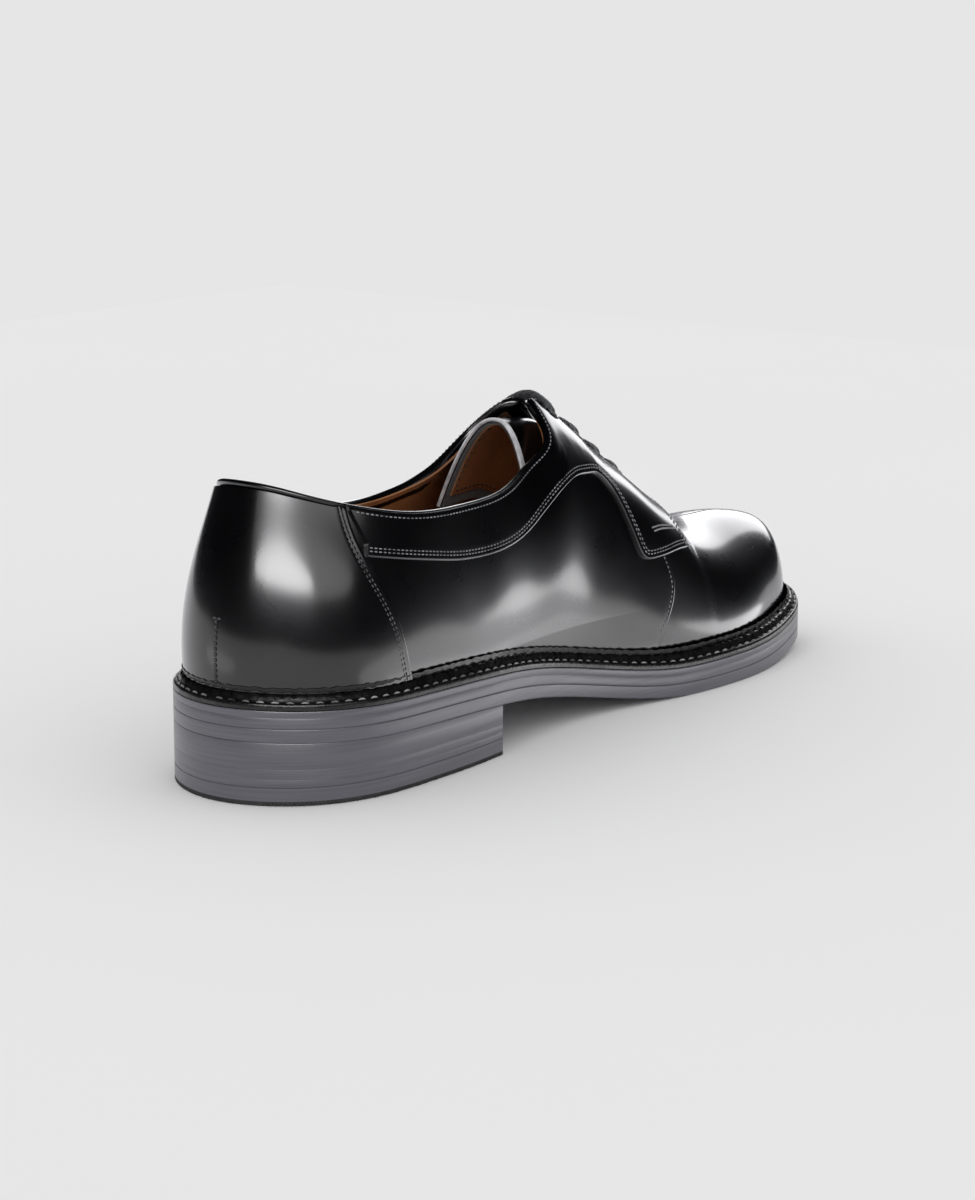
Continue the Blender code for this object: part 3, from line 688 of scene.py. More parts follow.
def panel_sheet(name, curves, heights, thickness, finish, node):
    """A leather overlay over curves of (girth, up), with a height share for each curve."""
    grid = np.array(curves)
    girth = grid[..., 0]
    up = np.clip(grid[..., 1], 0, 1)
    height = np.array(heights)[:, None] * topline(girth, up)
    outer = surf(girth, up, OVERLAY_GAP + thickness * height)
    inner = surf(girth, up, OVERLAY_GAP - 0.0002)
    return put_sheet(name, inner, outer, finish, node)


def stitches(name, paths, pitch, length, radius, finish, slot):
    """Rows of thread: each stitch is a short rod whose ends dip into the leather."""
    points = []
    faces = []
    stations, widths, lifts = columns_of(STITCH_SHAPE, STITCH_COLUMNS)
    turn = np.linspace(0, 2 * np.pi, STITCH_SIDES, endpoint=False)
    for path, normals in paths:
        run = run_of(path)
        middle = np.arange(pitch * 0.6, run[-1] - length * 0.5, pitch)
        if not len(middle):
            continue
        at = middle[:, None] + stations * length / 2
        line = np.stack([np.interp(at, run, path[:, i]) for i in range(3)], axis=-1)
        up = np.stack([np.interp(at, run, normals[:, i]) for i in range(3)], axis=-1)
        up = unit(up)
        ahead = unit(line[:, -1:] - line[:, :1])
        beside = unit(np.cross(ahead + 0 * up, up))
        line = line + up * (lifts * radius)[None, :, None]
        round_ = beside[:, :, None] * np.cos(turn)[None, None, :, None]
        round_ = round_ + up[:, :, None] * np.sin(turn)[None, None, :, None]
        rings = line[:, :, None] + round_ * (widths * radius)[None, :, None, None]
        for stitch in rings:
            low = len(points)
            points.extend(stitch.reshape(-1, 3))
            faces += tube_faces(len(stations), STITCH_SIDES, low)
    return put(name, np.array(points), faces, finish, None, 80, False)


def surface_path(edge, offset):
    """Points and outward directions along an edge of (girth, up)."""
    girth, up = edge.T
    points = surf(girth, up, offset)
    return points, surf(girth, up, np.asarray(offset) + 0.001) - points


# Materials


def finish_of(name, dark, light, tint_scale, rough, bumps, stretch=(1, 1, 1), **fixed):
    """A principled material: two tints mixed by noise, a roughness range and a stack of bumps."""
    made = bpy.data.materials.new(name)
    made.use_nodes = True
    tree = made.node_tree
    shader = tree.nodes["Principled BSDF"]
    place = tree.nodes.new("ShaderNodeTexCoord")
    scaled = tree.nodes.new("ShaderNodeMapping")
    scaled.inputs["Scale"].default_value = stretch
    tree.links.new(place.outputs["Object"], scaled.inputs["Vector"])

    def pattern(kind, scale):
        made_node = tree.nodes.new("ShaderNodeTex" + kind)
        made_node.inputs["Scale"].default_value = scale
        tree.links.new(scaled.outputs["Vector"], made_node.inputs["Vector"])
        if kind == "Noise":
            made_node.inputs["Detail"].default_value = 4.0
            return made_node.outputs["Fac"]
        if kind == "Voronoi":
            return made_node.outputs["Distance"]
        made_node.inputs["Distortion"].default_value = 1.5
        return made_node.outputs["Fac"]

    def spread(source, low, high):
        ranged = tree.nodes.new("ShaderNodeMapRange")
        for key, value in (("From Min", 0.3), ("From Max", 0.7), ("To Min", low), ("To Max", high)):
            ranged.inputs[key].default_value = value
        tree.links.new(source, ranged.inputs["Value"])
        return ranged.outputs["Result"]

    tint = tree.nodes.new("ShaderNodeMix")
    tint.data_type = "RGBA"
    tint.inputs["A"].default_value = (*dark, 1.0)
    tint.inputs["B"].default_value = (*light, 1.0)
    tree.links.new(spread(pattern("Noise", tint_scale), 0.0, 1.0), tint.inputs["Factor"])
    tree.links.new(tint.outputs["Result"], shader.inputs["Base Color"])
    low, high, scale = rough
    tree.links.new(spread(pattern("Noise", scale), low, high), shader.inputs["Roughness"])
    before = None
    for kind, scale, strength, depth in bumps:
        bump = tree.nodes.new("ShaderNodeBump")
        bump.inputs["Strength"].default_value = strength
        bump.inputs["Distance"].default_value = depth
        tree.links.new(pattern(kind, scale), bump.inputs["Height"])
        if before:
            tree.links.new(before, bump.inputs["Normal"])
        before = bump.outputs["Normal"]
    if before:
        tree.links.new(before, shader.inputs["Normal"])
    for key, value in fixed.items():
        shader.inputs[key.replace("_", " ")].default_value = value
    return made


LEATHER_BUMPS = (("Voronoi", 1400, 0.12, 0.00010), ("Noise", 2400, 0.14, 0.00006))
leather = finish_of(
    "upper_leather_black", (0.0012, 0.0012, 0.0017), (0.0024, 0.0024, 0.0032), 40,
    (0.26, 0.34, 60), LEATHER_BUMPS, Specular_IOR_Level=0.22,
    Coat_Weight=1.0, Coat_Roughness=0.15, Coat_IOR=1.6, Coat_Tint=(0.94, 0.94, 1.0, 1.0),
)
welt_black = finish_of(
    "welt_leather_black", (0.003, 0.003, 0.004), (0.012, 0.011, 0.011), 300,
    (0.16, 0.40, 500), (("Noise", 900, 0.35, 0.00025), ("Noise", 260, 0.35, 0.0006)),
    Specular_IOR_Level=0.35, Coat_Weight=0.3, Coat_Roughness=0.14,
)
edge_grey = finish_of(
    "edge_black_satin", (0.088, 0.085, 0.106), (0.122, 0.118, 0.146), 3.0,
    (0.34, 0.46, 6), (("Noise", 6, 0.20, 0.00010), ("Noise", 18, 0.12, 0.00008)),
    (9, 9, 420), Coat_Weight=0.5, Coat_Roughness=0.28, Coat_IOR=1.6,
)
seam_dark = finish_of(
    "glue_line_dark", (0.004, 0.003, 0.003), (0.030, 0.014, 0.006), 160,
    (0.4, 0.7, 300), (("Noise", 900, 0.3, 0.0002),),
)
rubber = finish_of(
    "top_piece_rubber_black", (0.012, 0.012, 0.013), (0.03, 0.03, 0.032), 200,
    (0.5, 0.7, 300), (("Noise", 1200, 0.3, 0.0002),),
)
tan = finish_of(
    "lining_leather_tan", (0.27, 0.105, 0.036), (0.48, 0.21, 0.080), 45,
    (0.38, 0.55, 90), (("Voronoi", 1300, 0.15, 0.00012), ("Noise", 110, 0.25, 0.0006)),
    Coat_Weight=0.12, Coat_Roughness=0.3,
)
suede = finish_of(
    "tongue_suede_grey", (0.018, 0.018, 0.021), (0.055, 0.056, 0.062), 500,
    (0.75, 0.95, 300), (("Noise", 2200, 0.6, 0.0003),), Sheen_Weight=0.5,
)
cut_edge = finish_of(
    "tongue_cut_edge", (0.42, 0.42, 0.45), (0.80, 0.80, 0.83), 300,
    (0.35, 0.55, 400), (("Noise", 900, 0.4, 0.0002),),
)
cotton = finish_of(
    "lace_waxed_cotton", (0.020, 0.021, 0.027), (0.070, 0.072, 0.085), 900,
    (0.5, 0.75, 900), (("Noise", 2500, 0.5, 0.0002),), Sheen_Weight=0.3,
)
# Welt thread: dark waxed thread; the light end of its tint is painted glints, so that some stitches read
# bright.
welt_thread = finish_of(
    "welt_thread_waxed_painted_glints", (0.008, 0.008, 0.009), (0.46, 0.46, 0.48), 110,
    (0.25, 0.5, 700), (("Noise", 3000, 0.4, 0.0002),),
)
TWIST = ((0.3, 0.5, 900), (("Noise", 4000, 0.4, 0.0001),))
# The stitch thread is dark; the grey of these two thread finishes, and their lighter stitches, is partly
# painted glints standing in for the shine of black thread.
thread = finish_of("thread_grey_painted_glints", (0.11, 0.11, 0.12), (0.34, 0.34, 0.36), 220, *TWIST)
mid_thread = finish_of("thread_mid_grey_painted_glints", (0.020, 0.020, 0.022), (0.150, 0.150, 0.160), 160, *TWIST)
dark_thread = finish_of("thread_black", (0.010, 0.010, 0.011), (0.05, 0.05, 0.055), 300, *TWIST)


# Upper: outer leather with its side seam, and the lining inside it


def seam_at(up):
    return spline(*columns_of(SEAM, SEAM_COLUMNS), up)


def seam_bent(girth, up):
    """Girth of a column that follows the side seam where it is near it."""
    pull = np.exp(-(((girth - SEAM_MIDDLE) / SEAM_REACH) ** 2))
    return girth + (seam_at(up) - SEAM_MIDDLE) * pull


def toe_columns(count):
    return THROAT_END + (1 - THROAT_END) * np.sin(np.linspace(0, np.pi / 2, count))


def build_upper():
    rows, behind, beside, ahead = BODY_GRID
    ups = 1 - (1 - np.linspace(0, 1, rows)) ** 1.08
    girth_metre = np.linalg.norm(surf(0.645, 0.2) - surf(0.635, 0.2)) / 0.01
    start, end = STITCH_GROOVE
    quarter = [(-d / girth_metre, share) for d, share in CUT_EDGE if not start <= d <= end]
    near = [SEAM_MIDDLE + g for g, _ in quarter]
    step = [share for _, share in quarter]
    back = np.linspace(0, min(near), behind, endpoint=False)
    throat = np.linspace(SEAM_MIDDLE, THROAT_END, beside, endpoint=False)[1:]
    toe = toe_columns(ahead)
    half = np.concatenate((back, near[::-1], [SEAM_MIDDLE + 1e-5], throat, toe))
    high = np.concatenate((np.ones(len(back)), step[::-1], np.zeros(1 + len(throat) + len(toe))))
    girth = both_sides(half)[:, None]
    high = both_sides(high, 1)[:, None]
    bent = np.sign(girth) * seam_bent(np.abs(girth), ups[None, :])
    bent = np.where(np.abs(girth) > 0.999, girth, bent)
    ups = np.broadcast_to(ups, bent.shape)
    outer = surf(bent, ups, QUARTER_STEP * high)
    inner = surf(bent, ups, -UPPER_SKIN)
    put_sheet("upper_body", inner, outer, leather, "upper")
    sewn = np.linspace(*SEAM_SEWN, 80)
    seam = np.stack((seam_at(sewn), sewn), axis=1)
    paths = []
    for side in (-1, 1):
        edge = seam * (side, 1)
        paths.append(surface_path(insets(edge, STITCH_ROWS[:1], side)[0], QUARTER_STEP * 0.9))
    stitches("seam_stitches", paths, *STITCH, thread, "upper_leather")


def build_lining():
    rows, behind, ahead = LINING_GRID
    half = np.concatenate((np.linspace(0, THROAT_END, behind, endpoint=False), toe_columns(ahead)))
    girth, ups = np.broadcast_arrays(both_sides(half)[:, None], np.linspace(0, 1, rows)[None, :])
    ups = ups * (1 - LINING_CUT * smooth((np.abs(girth) - 0.50) / 0.05))
    outer = surf(girth, ups, -UPPER_SKIN - 0.0001)
    inner = surf(girth, ups, -UPPER_WALL)
    put_sheet("lining", inner, outer, tan)


# Counter, facings and the rolled topline


def counter_edge(side, count=90):
    ups = np.linspace(0.0, 1, 200)
    edge = np.stack((side * spline(*columns_of(COUNTER_EDGE, COUNTER_COLUMNS), ups), ups), axis=1)
    return even(edge, count)


def build_counter():
    edges = {side: counter_edge(side) for side in (-1, 1)}
    start, heights = rolled_edge(edges[-1], -1)
    end, shares = rolled_edge(edges[1], 1)
    curves = list(start)
    for share in np.linspace(0, 1, COUNTER_CURVES)[1:-1]:
        curves.append(start[-1] * (1 - share) + end[-1] * share)
        heights.append(1.0)
    curves += end[::-1]
    heights += shares[::-1]
    grid = np.array(curves)
    grid[..., 1] = COUNTER_LOW + (1 - COUNTER_LOW) * np.clip(grid[..., 1], 0, 1)
    panel_sheet("heel_counter_leather", grid, heights, COUNTER_THICKNESS, leather,
                "heel_counter")
    paths = []
    for side in (-1, 1):
        for edge in insets(edges[side], STITCH_ROWS, side):
            edge = edge[(edge[:, 1] > COUNTER_LOW) & (edge[:, 1] < 0.985)]
            paths.append(surface_path(edge, OVERLAY_GAP + COUNTER_THICKNESS * 0.93))
    stitches("counter_stitches", paths, *STITCH, mid_thread, "counter_leather")


DART = ((0.0, 0.345), (0.0, 0.270), (0.0, 0.165), (0.0, 0.065))
DART_BAR = 0.0065  # girth share either side of the back
DART_STITCH = (0.00170, 0.00160, 0.00046)  # pitch, length, radius
TACK = ((0.629, 0.483), (0.645, 0.510), (0.662, 0.532), (0.680, 0.555))
TACK_APART = (-0.0022, 0.012)  # from one bar of the tack to the other
TACK_STITCH = (0.00118, 0.00116, 0.00034)  # pitch, length, radius


def build_dart():
    dart = even(np.array(DART), 60)
    across = np.linspace(-DART_BAR, DART_BAR, 12)
    bar = np.stack((across, np.full(12, DART[0][1])), axis=1)
    height = OVERLAY_GAP + COUNTER_THICKNESS
    paths = [surface_path(dart, height), surface_path(bar, height)]
    stitches("back_dart", paths, *DART_STITCH, dark_thread, "counter_leather")


def build_tack(side):
    tack = even(np.array(TACK) * (side, 1), 40)
    height = OVERLAY_GAP + FACING_THICKNESS
    bars = [tack, tack + (side * TACK_APART[0], TACK_APART[1])]
    name = "tack_" + side_name(side)
    paths = [surface_path(bar, height) for bar in bars]
    stitches(name, paths, *TACK_STITCH, thread, "facing_leather")


def facing_edges(side, count=420):
    low, up, top = table_curve(FACING_EDGE, FACING_COLUMNS, ("girth", "up", "top_girth"), 600)
    front = np.linspace(0, 1, 140)[1:]
    low = np.concatenate((low, low[-1] + FACING_FRONT[0] * front))
    up = np.concatenate((up, up[-1] + (FACING_FRONT[1] - up[-1]) * front))
    top = np.concatenate((top, np.full(len(front), top[-1])))
    table = even(np.stack((side * low, up, side * top), axis=1), count)
    near_peak = np.exp(-(((np.abs(table[:, :1]) - PEAK_GIRTH) / PEAK_REACH) ** 4))
    for reach, pull in ((EDGE_EASE, 1.0), (PEAK_EASE, near_peak)):
        ease = np.hanning(2 * reach + 1)
        before = 2 * table[:1] - table[reach:0:-1]
        after = 2 * table[-1:] - table[-2:-reach - 2:-1]
        padded = np.concatenate((before, table, after))
        eased = np.stack([np.convolve(row, ease / ease.sum(), "valid") for row in padded.T], axis=1)
        table = table + (eased - table) * pull
    return table


def build_facing(side):
    name = "facing_" + side_name(side)
    table = facing_edges(side)
    edge = table[:, :2]
    top = np.stack((table[:, 2], np.ones(len(table))), axis=1)
    curves, heights = rolled_edge(edge, side)
    for share in 1 - (1 - np.linspace(0, 1, FACING_CURVES)[1:]) ** 1.3:
        curves.append(curves[len(CUT_EDGE) - 1] * (1 - share) + top * share)
        heights.append(1.0)
    panel_sheet(name + "_leather", curves, heights, FACING_THICKNESS, leather, name)
    paths = []
    for line in insets(edge, STITCH_ROWS, side):
        line = line[line[:, 1] < 0.97]
        paths.append(surface_path(line, OVERLAY_GAP + FACING_THICKNESS * 0.93))
    rim = side * np.linspace(*TOPLINE_SEWN, 300)
    line = np.stack((rim, 1 - TOPLINE_STITCH / metres_up(rim)), axis=1)
    paths.append(surface_path(line, OVERLAY_GAP + FACING_THICKNESS * 0.97))
    stitches(name + "_stitches", paths, *STITCH, thread, "facing_leather")


# Rim over the topline: offset from the surface, height over it
RIM_END = 0.70  # girth share
RIM_POINTS = 260
FOLD_DEEPER = 2.2  # how much deeper the fold reaches inside the throat
FOLD_FROM = 0.42  # girth share from which it does
FOLD_OVER = 0.08
RIM = (
    (0.00108, -0.0006),
    (0.00112, 0.0000),
    (0.00095, 0.0004),
    (0.00060, 0.00062),
    (0.00005, 0.00070),
    (-0.0005, 0.00062),
    (-0.0011, 0.0004),
    (-0.0015, 0.0000),
    (-0.0021, -0.0008),
    (-0.00225, -0.0020),
    (-0.00225, -0.0034),
    (-0.0021, -0.0042),
    (-0.0018, -0.0042),
)


def build_rim():
    girth = both_sides(np.linspace(0, RIM_END, RIM_POINTS))
    rows = []
    for out, high in RIM:
        points = surf(girth, 1.0, out)
        if out < -0.0015 and high < -0.001:
            high = high * (1 + FOLD_DEEPER * smooth((np.abs(girth) - FOLD_FROM) / FOLD_OVER))[:, None]
        rows.append(points + unit(surf(girth, 1.0) - surf(girth, 0.99)) * high)
    rows = np.array(rows)
    count = len(girth)
    faces = grid_faces(len(rows), count, 0, True)
    faces.append(tuple(i * count for i in range(len(rows))))
    faces.append(tuple(i * count + count - 1 for i in reversed(range(len(rows)))))
    put("topline_rim", rows.reshape(-1, 3), faces, leather)


# Tongue

# Its cut top edge: depth in from the leather's face, place along the tongue
TONGUE_RIM = (
    (-0.00008, 0.016),
    (-0.00016, 0.004),
    (-0.00010, -0.004),
    (0.00050, -0.008),
    (0.00100, -0.004),
    (0.00120, 0.004),
    (0.00120, 0.016),
)
TONGUE_STITCH = (0.0026, 0.0018, 0.00022)  # pitch, length, radius


def tongue_grid(inward, rows=70, columns=70, back=0.0, side_share=1.0, front=1.0):
    along_share = column(TONGUE, TONGUE_COLUMNS, "along")
    share = np.linspace(back, front, rows)[:, None]
    place = np.linspace(-side_share, side_share, columns)[None, :]
    at = along_share[0] + (along_share[-1] - along_share[0]) * share
    height = spline(along_share, column(TONGUE, TONGUE_COLUMNS, "height"), at)
    width = spline(along_share, column(TONGUE, TONGUE_COLUMNS, "half_width"), at)
    drop = spline(along_share, column(TONGUE, TONGUE_COLUMNS, "drop"), at)
    x = at * SOLE_LENGTH - TONGUE_CURL * place * place * (1 - share)
    y = place * width * BALL_WIDTH
    z = (height - drop * np.abs(place) ** 2.2) * INSTEP_HEIGHT
    grid = np.stack(np.broadcast_arrays(x, y, z), axis=-1)
    return grid - unit(np.cross(np.gradient(grid, axis=0), np.gradient(grid, axis=1))) * inward


def build_tongue():
    put_sheet("tongue_leather", tongue_grid(0.0013), tongue_grid(0.0), leather, "tongue")
    inner = tongue_grid(0.0020, back=0.004)
    put_sheet("tongue_suede", inner, tongue_grid(0.0014, back=0.004), suede)
    patch = {"back": 0.030, "side_share": 0.94}
    put_sheet("tongue_patch", tongue_grid(0.0025, **patch), tongue_grid(0.0019, **patch), tan)
    rows = []
    for inward, back in TONGUE_RIM:
        rows.append(tongue_grid(inward, rows=12, columns=140, back=back)[0])
    rows = np.array(rows)
    put("tongue_rim", rows.reshape(-1, 3), grid_faces(len(rows), 140, 0, True), cut_edge)
    row = {"rows": 60, "columns": 80, "back": 0.044, "side_share": 0.915}
    line = tongue_grid(0.0025, **row)
    above = tongue_grid(0.0035, **row)
    normals = above - line
    loop = [(line[::-1, 0], normals[::-1, 0]), (line[0], normals[0]), (line[:, -1], normals[:, -1])]
    stitches("tongue_stitches", loop, *TONGUE_STITCH, dark_thread, "tongue_leather")


# Lace through its eyelets

LACE_TURN = 48
LACE_RUN = 130
BRAID = 5.0
BRAID_DEPTH = 0.00022
BRAID_PITCH = 0.9  # turns of the braid to a lace width of run
LACE_PINCH = 0.30  # width that a bar loses at its eyelets
LACE_SQUARE = 0.8  # below 1 the section is fuller than an ellipse
# How a bar goes: wall share, height over the facing as a share of the lace's own clearance
BAR = ((0.880, -1.3), (0.900, -0.3), (0.918, 0.55), (0.940, 0.92), (0.970, 1.0), (1.0, 1.05))
EYELET_UP = 0.908
EYELET_RADIUS = 0.0026
EYELET_ROLL = 0.00045
EYELET_HEIGHT = 0.00035
EYELET_TURN = 40
EYELET_SIDES = 10


def build_lace():
    clear = OVERLAY_GAP + FACING_THICKNESS + LACE_THICKNESS / 2
    points = []
    faces = []
    eyelets = []
    eyelet_faces = []
    for i in range(LACE_BARS):
        girth = LACE_FIRST + LACE_PITCH * i
        ups = np.array([row[0] for row in BAR])
        high = clear * np.array([row[1] for row in BAR])
        near = surf(-girth, ups, high)
        far = surf(girth, ups, high)[::-1]
        knots = np.concatenate((near, far))
        run = run_of(knots)
        at = np.linspace(0, run[-1], LACE_RUN)
        path = np.stack([spline(run, knots[:, k], at) for k in range(3)], axis=1)
        ahead = unit(np.gradient(path, axis=0))
        lengthwise = np.array([1.0, 0.0, LACE_FALL])
        flat = unit(lengthwise - ahead * (ahead @ lengthwise)[:, None])
        rise = np.cross(ahead, flat)
        turn = np.linspace(0, 2 * np.pi, LACE_TURN, endpoint=False)
        along_phase = at / LACE_WIDTH * 2 * np.pi * BRAID_PITCH
        weave = np.sin(BRAID * turn[None, :] + along_phase[:, None] * 2)
        weave = np.maximum(weave, np.sin(-BRAID * turn[None, :] + along_phase[:, None] * 2 + np.pi))
        swell = BRAID_DEPTH * (weave - 0.6)
        pinch = 1 - LACE_PINCH * smooth((np.abs(at / run[-1] - 0.5) - 0.30) / 0.2)[:, None]
        wide = np.sign(np.cos(turn)) * np.abs(np.cos(turn)) ** LACE_SQUARE
        ring = (wide * (LACE_WIDTH / 2 * pinch + swell))[..., None] * flat[:, None]
        ring = ring + (np.sin(turn) * (LACE_THICKNESS / 2 + swell))[..., None] * rise[:, None]
        low = len(points)
        points.extend((path[:, None] + ring).reshape(-1, 3))
        faces += tube_faces(LACE_RUN, LACE_TURN, low)
        for side in (-1, 1):
            level = OVERLAY_GAP + FACING_THICKNESS
            centre = surf(side * girth, EYELET_UP, level)
            above = unit(surf(side * girth, EYELET_UP, level + 0.001) - centre)
            one = surf(side * (girth + 0.002), EYELET_UP, level) - centre
            one = unit(one - above * (one @ above))
            two = np.cross(above, one)
            round_ = np.linspace(0, 2 * np.pi, EYELET_TURN, endpoint=False)
            ring = np.cos(round_)[:, None] * one + np.sin(round_)[:, None] * two
            base = len(eyelets)
            for angle in np.linspace(0, 2 * np.pi, EYELET_SIDES, endpoint=False):
                radius = EYELET_RADIUS + EYELET_ROLL * np.cos(angle)
                eyelets.extend(centre + ring * radius + above * EYELET_HEIGHT * np.sin(angle))
            eyelet_faces += grid_faces(EYELET_SIDES, EYELET_TURN, base, True, True)
    put("lace_bars", np.array(points), faces, cotton, "lace", 80)
    put("eyelet_rims", np.array(eyelets), eyelet_faces, leather, None, 80)


# Sole


def build_layer(name, base, thickness, levels, finish, node=None, front=None,
                stations=240, tread=False):
    """A sole layer over the outline, whole or from the back to the heel's front."""
    share = np.linspace(0, 1, stations)
    rows = []
    for height, inset_by in levels:
        ends, _ = plan(np.array([0.0, TIP_KNOT]), inset_by)
        last = ends[1, 0] if front is None else front - inset_by
        bend = (1 - np.cos(np.pi * share)) / 2 if front is None else 1 - np.cos(np.pi * share / 2)
        x = ends[0, 0] + (last - ends[0, 0]) * bend
        z = base(x) + height * thickness(x)
        pair = []
        for side in (-1, 1):
            outline, _ = plan(plan_place(side, np.linspace(0, 1, SIDE_POINTS)), inset_by)
            y = np.interp(x, outline[:, 0], outline[:, 1])
            y[0] = ends[0, 1]
            if front is None:
                y[-1] = ends[1, 1]
            if tread and height < 0.5:
                run = run_of(np.stack((x, y), axis=1))
                y = y - side * TREAD_DEPTH * (np.sin(run / TREAD_PITCH * 2 * np.pi) > 0)
            pair.append(np.stack((x, y, z), axis=-1))
        rows.append(np.concatenate((pair[0], pair[1][::-1])))
    rows = np.array(rows)
    count = 2 * stations
    faces = grid_faces(len(rows), count, 0, False, True)
    for level in (0, len(rows) - 1):
        low = level * count
        for i in range(stations - 1):
            faces.append((low + i, low + i + 1, low + count - 2 - i, low + count - 1 - i))
    return put(name, rows.reshape(-1, 3), faces, finish, node, 40)


def build_sole():
    def flat(value):
        return lambda x: value + 0 * x

    outsole = flat(OUTSOLE_THICKNESS + (GAP - SEALED) / 2)
    build_layer("outsole_edge", underside, outsole, LAYER_EDGE, edge_grey, "outsole")
    build_layer("midsole_edge", lambda x: underside(x) + OUTSOLE_TOP + (GAP + SEALED) / 2,
                flat(MIDSOLE_THICKNESS + GAP - SEALED), MIDSOLE_EDGE, edge_grey, "midsole")
    build_layer("glue_line", lambda x: underside(x) + OUTSOLE_THICKNESS - GLUE_BELOW, flat(GLUE_HEIGHT),
                [(0.0, GLUE_INSET), (1.0, GLUE_INSET)], seam_dark)
    lifts = [(0.0, 0.0002), (0.02, 0.0)]
    for lift in HEEL_LIFTS:
        lifts += [(lift + step, LIFT_GROOVE * share) for step, share in LIFT_SECTION]
    lifts += [(0.98, 0.0), (1.0, 0.0001)]
    build_layer("heel_stack_lifts", flat(TOP_PIECE_THICKNESS),
                lambda x: underside(x) - SEALED - TOP_PIECE_THICKNESS,
                lifts, edge_grey, "heel_stack", HEEL_LENGTH)
    build_layer("top_piece_edge", flat(0.0), flat(TOP_PIECE_THICKNESS),
                [(TREAD_HEIGHT / TOP_PIECE_THICKNESS, 0.0), (1.0, 0.0)],
                edge_grey, "top_piece", HEEL_LENGTH)
    build_layer("top_piece_tread", flat(0.0), flat(TREAD_HEIGHT), [(0.0, 0.0), (0.9, 0.0), (1.0, 0.0)],
                rubber, None, HEEL_LENGTH, 300, True)
    build_layer("insole_board", lambda x: underside(x) + MIDSOLE_TOP + GAP, flat(INSOLE_THICKNESS),
                INSOLE_SIDE, tan, "insole", None, 160)


def build_welt():
    place = np.arange(WELT_POINTS) / WELT_POINTS * PLAN_PERIOD
    medial_part = place <= TIP_KNOT
    girth = np.where(medial_part, place / TIP_KNOT, (PLAN_PERIOD - place) / (PLAN_PERIOD - TIP_KNOT))
    width = ledge(girth)
    lean = np.clip(upper_column("bulge", girth, 0.0012) / LEAN_BULGE, *LEAN_LIMITS)
    across, height = columns_of(WELT_SECTION, WELT_SECTION_COLUMNS)
    height = height * WELT_RIB
    inner = width - GAP
    turns = 2 * np.pi * place
    ripple = WELT_GATHER * np.sin(turns / WELT_STITCH[0] + 1.7 * np.sin(turns / WELT_DRIFT))
    ripple = ripple * (0.6 + 0.4 * np.sin(turns / WELT_BEAT))
    rows = []
    for share, level in zip(across, height):
        limit = inner - lean * level - 0.0002
        gather = ripple * smooth((share - 0.3) / 0.2)
        point, _ = plan(place, np.minimum(share * width, limit - (1 - share) * 0.0004))
        rows.append(on_sole(point, level + gather))
    for level in (height[-1] * 0.9, 0.0):
        point, _ = plan(place, inner - lean * level - 0.0001)
        rows.append(on_sole(point, level))
    rows = np.array(rows)
    put("welt_strip", rows.reshape(-1, 3), grid_faces(len(rows), WELT_POINTS, 0, True, True),
        welt_black, "welt", 60)
    point, _ = plan(np.append(place, PLAN_PERIOD), np.append(width, width[:1]) * WELT_STITCH_ACROSS)
    path = on_sole(point, WELT_STITCH_HEIGHT * WELT_RIB)
    normals = np.broadcast_to(np.array([0.0, 0.0, 1.0]), path.shape)
    stitches("welt_stitches", [(path, normals)], *WELT_STITCH, welt_thread, "welt_leather")


# Camera of the photograph: target in the sole's frame, direction and distance

IMAGE_SIZE = (975, 1200)
CAMERA_TARGET = (0.13713, 0.0, 0.03894)
CAMERA_AZIMUTH = 0.9068225
CAMERA_ELEVATION = 0.2149984
CAMERA_DISTANCE = 1.04695
FOCAL_PIXELS = 3100.98
SENSOR = 36.0


def build_camera():
    data = bpy.data.cameras.new("camera")
    data.sensor_width = SENSOR
    data.lens = FOCAL_PIXELS * SENSOR / max(IMAGE_SIZE)
    data.clip_start = 0.01
    data.clip_end = 100.0
    camera = linked("camera", data)
    back = Vector((
        -np.sin(CAMERA_AZIMUTH) * np.cos(CAMERA_ELEVATION),
        -np.cos(CAMERA_AZIMUTH) * np.cos(CAMERA_ELEVATION),
        np.sin(CAMERA_ELEVATION),
    ))
    target = Vector(CAMERA_TARGET) - Vector((*CENTRE, 0.0))
    camera.location = target + back * CAMERA_DISTANCE
    camera.rotation_mode = "QUATERNION"
    camera.rotation_quaternion = (-back).to_track_quat("-Z", "Y")
    bpy.context.scene.camera = camera


# Studio: pale floor, dark room with a pale back, and soft lights

# Softboxes: name, shape, x, y, z, width, height, power
LIGHTS = (
    ("softbox_heel", "ELLIPSE", -0.76, -0.54, 0.355, 1.10, 0.16, 4.9),
    ("softbox_heel_veil", "ELLIPSE", -0.50, -0.80, 0.37, 1.70, 0.24, 1.9),
    ("softbox_back", "RECTANGLE", 1.32, 0.68, 0.54, 1.30, 0.70, 8.8),
    ("softbox_left", "RECTANGLE", -0.98, -0.20, 0.36, 0.40, 0.20, 0.2),
)
# Lit patches of the table, seen only as reflections in the leather and the edges:
# name, x, y, width, depth, power
GLOWS = (
    ("table_glow_side", 0.020, -0.145, 0.22, 0.16, 0.085),
    ("table_glow_near", 0.045, -0.120, 0.18, 0.10, 0.060),
    ("table_glow_front", 0.240, -0.115, 0.24, 0.10, 0.210),
    ("table_glow_heel", -0.300, 0.120, 0.10, 0.18, 0.030),
)
GLOW_HEIGHT = 0.0006
LIGHT_AIM = (0.0, 0.0, 0.05)
# Corners of the pale floor: the backdrop goes on in the same tone
FLOOR = ((-0.75, -0.42), (-0.02, -0.42), (0.16, -0.17), (0.90, -0.17), (0.90, 0.90), (-0.75, 0.90))
FLOOR_HEIGHT = -0.0002
BACKDROP = (0.79, 0.79, 0.79)
SOFT_ROOM = (0.855, 0.855, 0.855)
ROOM = (0.003, 0.003, 0.0035)


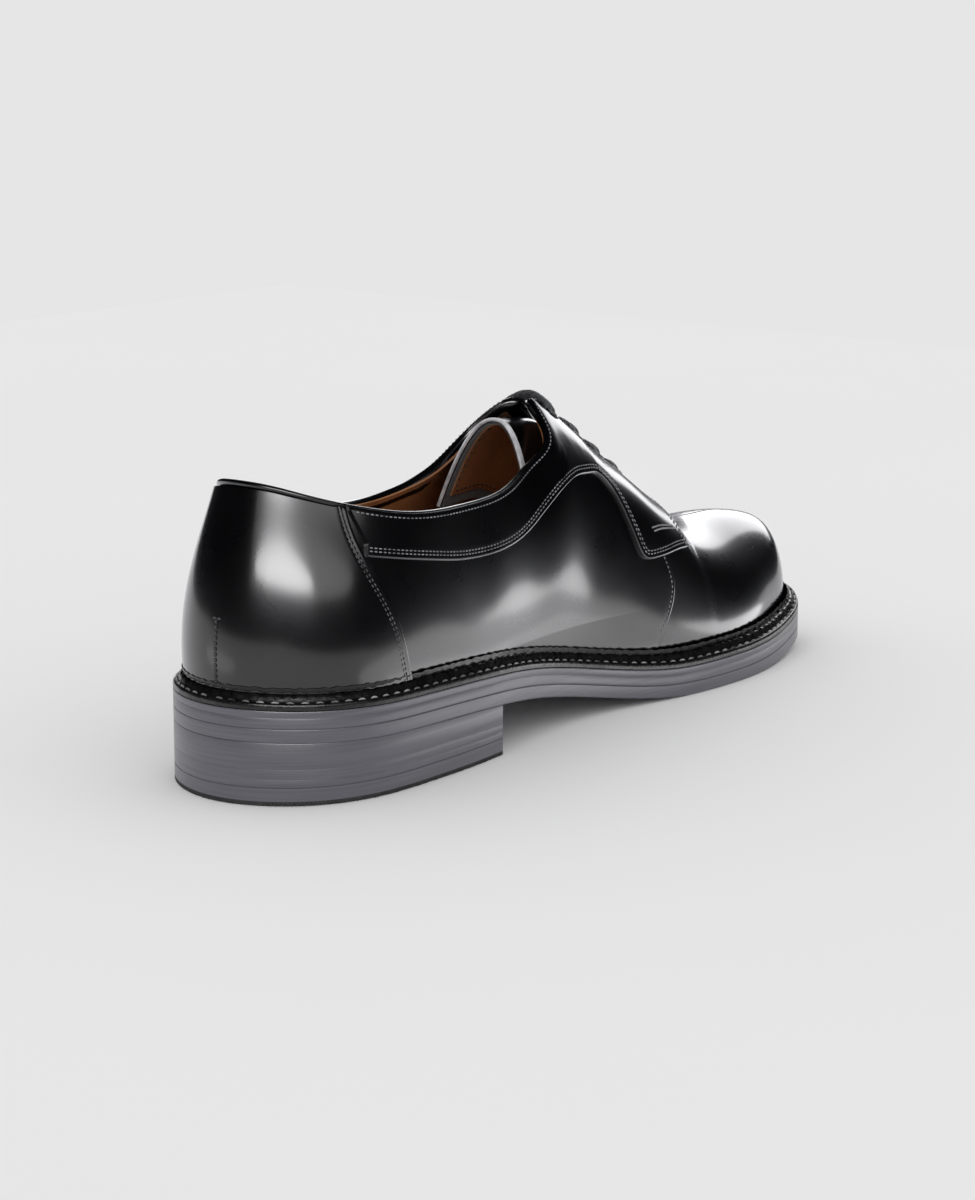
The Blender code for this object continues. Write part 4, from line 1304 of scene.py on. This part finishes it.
def soft_light(name, shape, place, width, height, power):
    """An area light that gives reflections alone and doesn't light matt surfaces."""
    data = bpy.data.lights.new(name, "AREA")
    data.shape = shape
    data.size = width
    data.size_y = height
    data.energy = power
    lamp = linked(name, data)
    lamp.location = place
    lamp.visible_diffuse = False
    return lamp


def build_studio():
    bpy.context.scene.view_settings.view_transform = "Standard"
    for name, shape, x, y, z, width, height, power in LIGHTS:
        lamp = soft_light(name, shape, (x, y, z), width, height, power)
        way = Vector(LIGHT_AIM) - Vector((x, y, z))
        lamp.rotation_mode = "QUATERNION"
        lamp.rotation_quaternion = way.to_track_quat("-Z", "Y")
    for name, x, y, width, depth, power in GLOWS:
        lamp = soft_light(name, "ELLIPSE", (x, y, GLOW_HEIGHT), width, depth, power)
        lamp.rotation_euler = (np.pi, 0.0, 0.0)
        lamp.visible_camera = False
    floor_finish = finish_of(
        "studio_floor", (0.93, 0.93, 0.93), (0.94, 0.94, 0.94), 3, (0.8, 0.9, 5), (), Specular_IOR_Level=0.0,
    )
    mesh = bpy.data.meshes.new("studio_floor")
    mesh.from_pydata([(x, y, FLOOR_HEIGHT) for x, y in FLOOR], [], [tuple(range(len(FLOOR)))])
    mesh.materials.append(floor_finish)
    linked("studio_floor", mesh)
    world = bpy.data.worlds.new("studio")
    bpy.context.scene.world = world
    world.use_nodes = True
    tree = world.node_tree
    background = tree.nodes["Background"]
    path = tree.nodes.new("ShaderNodeLightPath")
    colour = None
    for ray, seen in (("Is Camera Ray", BACKDROP), ("Is Glossy Ray", ROOM)):
        mix = tree.nodes.new("ShaderNodeMix")
        mix.data_type = "RGBA"
        if colour:
            tree.links.new(colour, mix.inputs["A"])
        else:
            mix.inputs["A"].default_value = (*SOFT_ROOM, 1.0)
        mix.inputs["B"].default_value = (*seen, 1.0)
        tree.links.new(path.outputs[ray], mix.inputs["Factor"])
        colour = mix.outputs["Result"]
    tree.links.new(colour, background.inputs["Color"])


build_camera()
build_studio()
build_upper()
build_lining()
build_counter()
build_facing(-1)
build_facing(1)
build_dart()
build_tack(-1)
build_tack(1)
build_rim()
build_tongue()
build_lace()
build_sole()
build_welt()
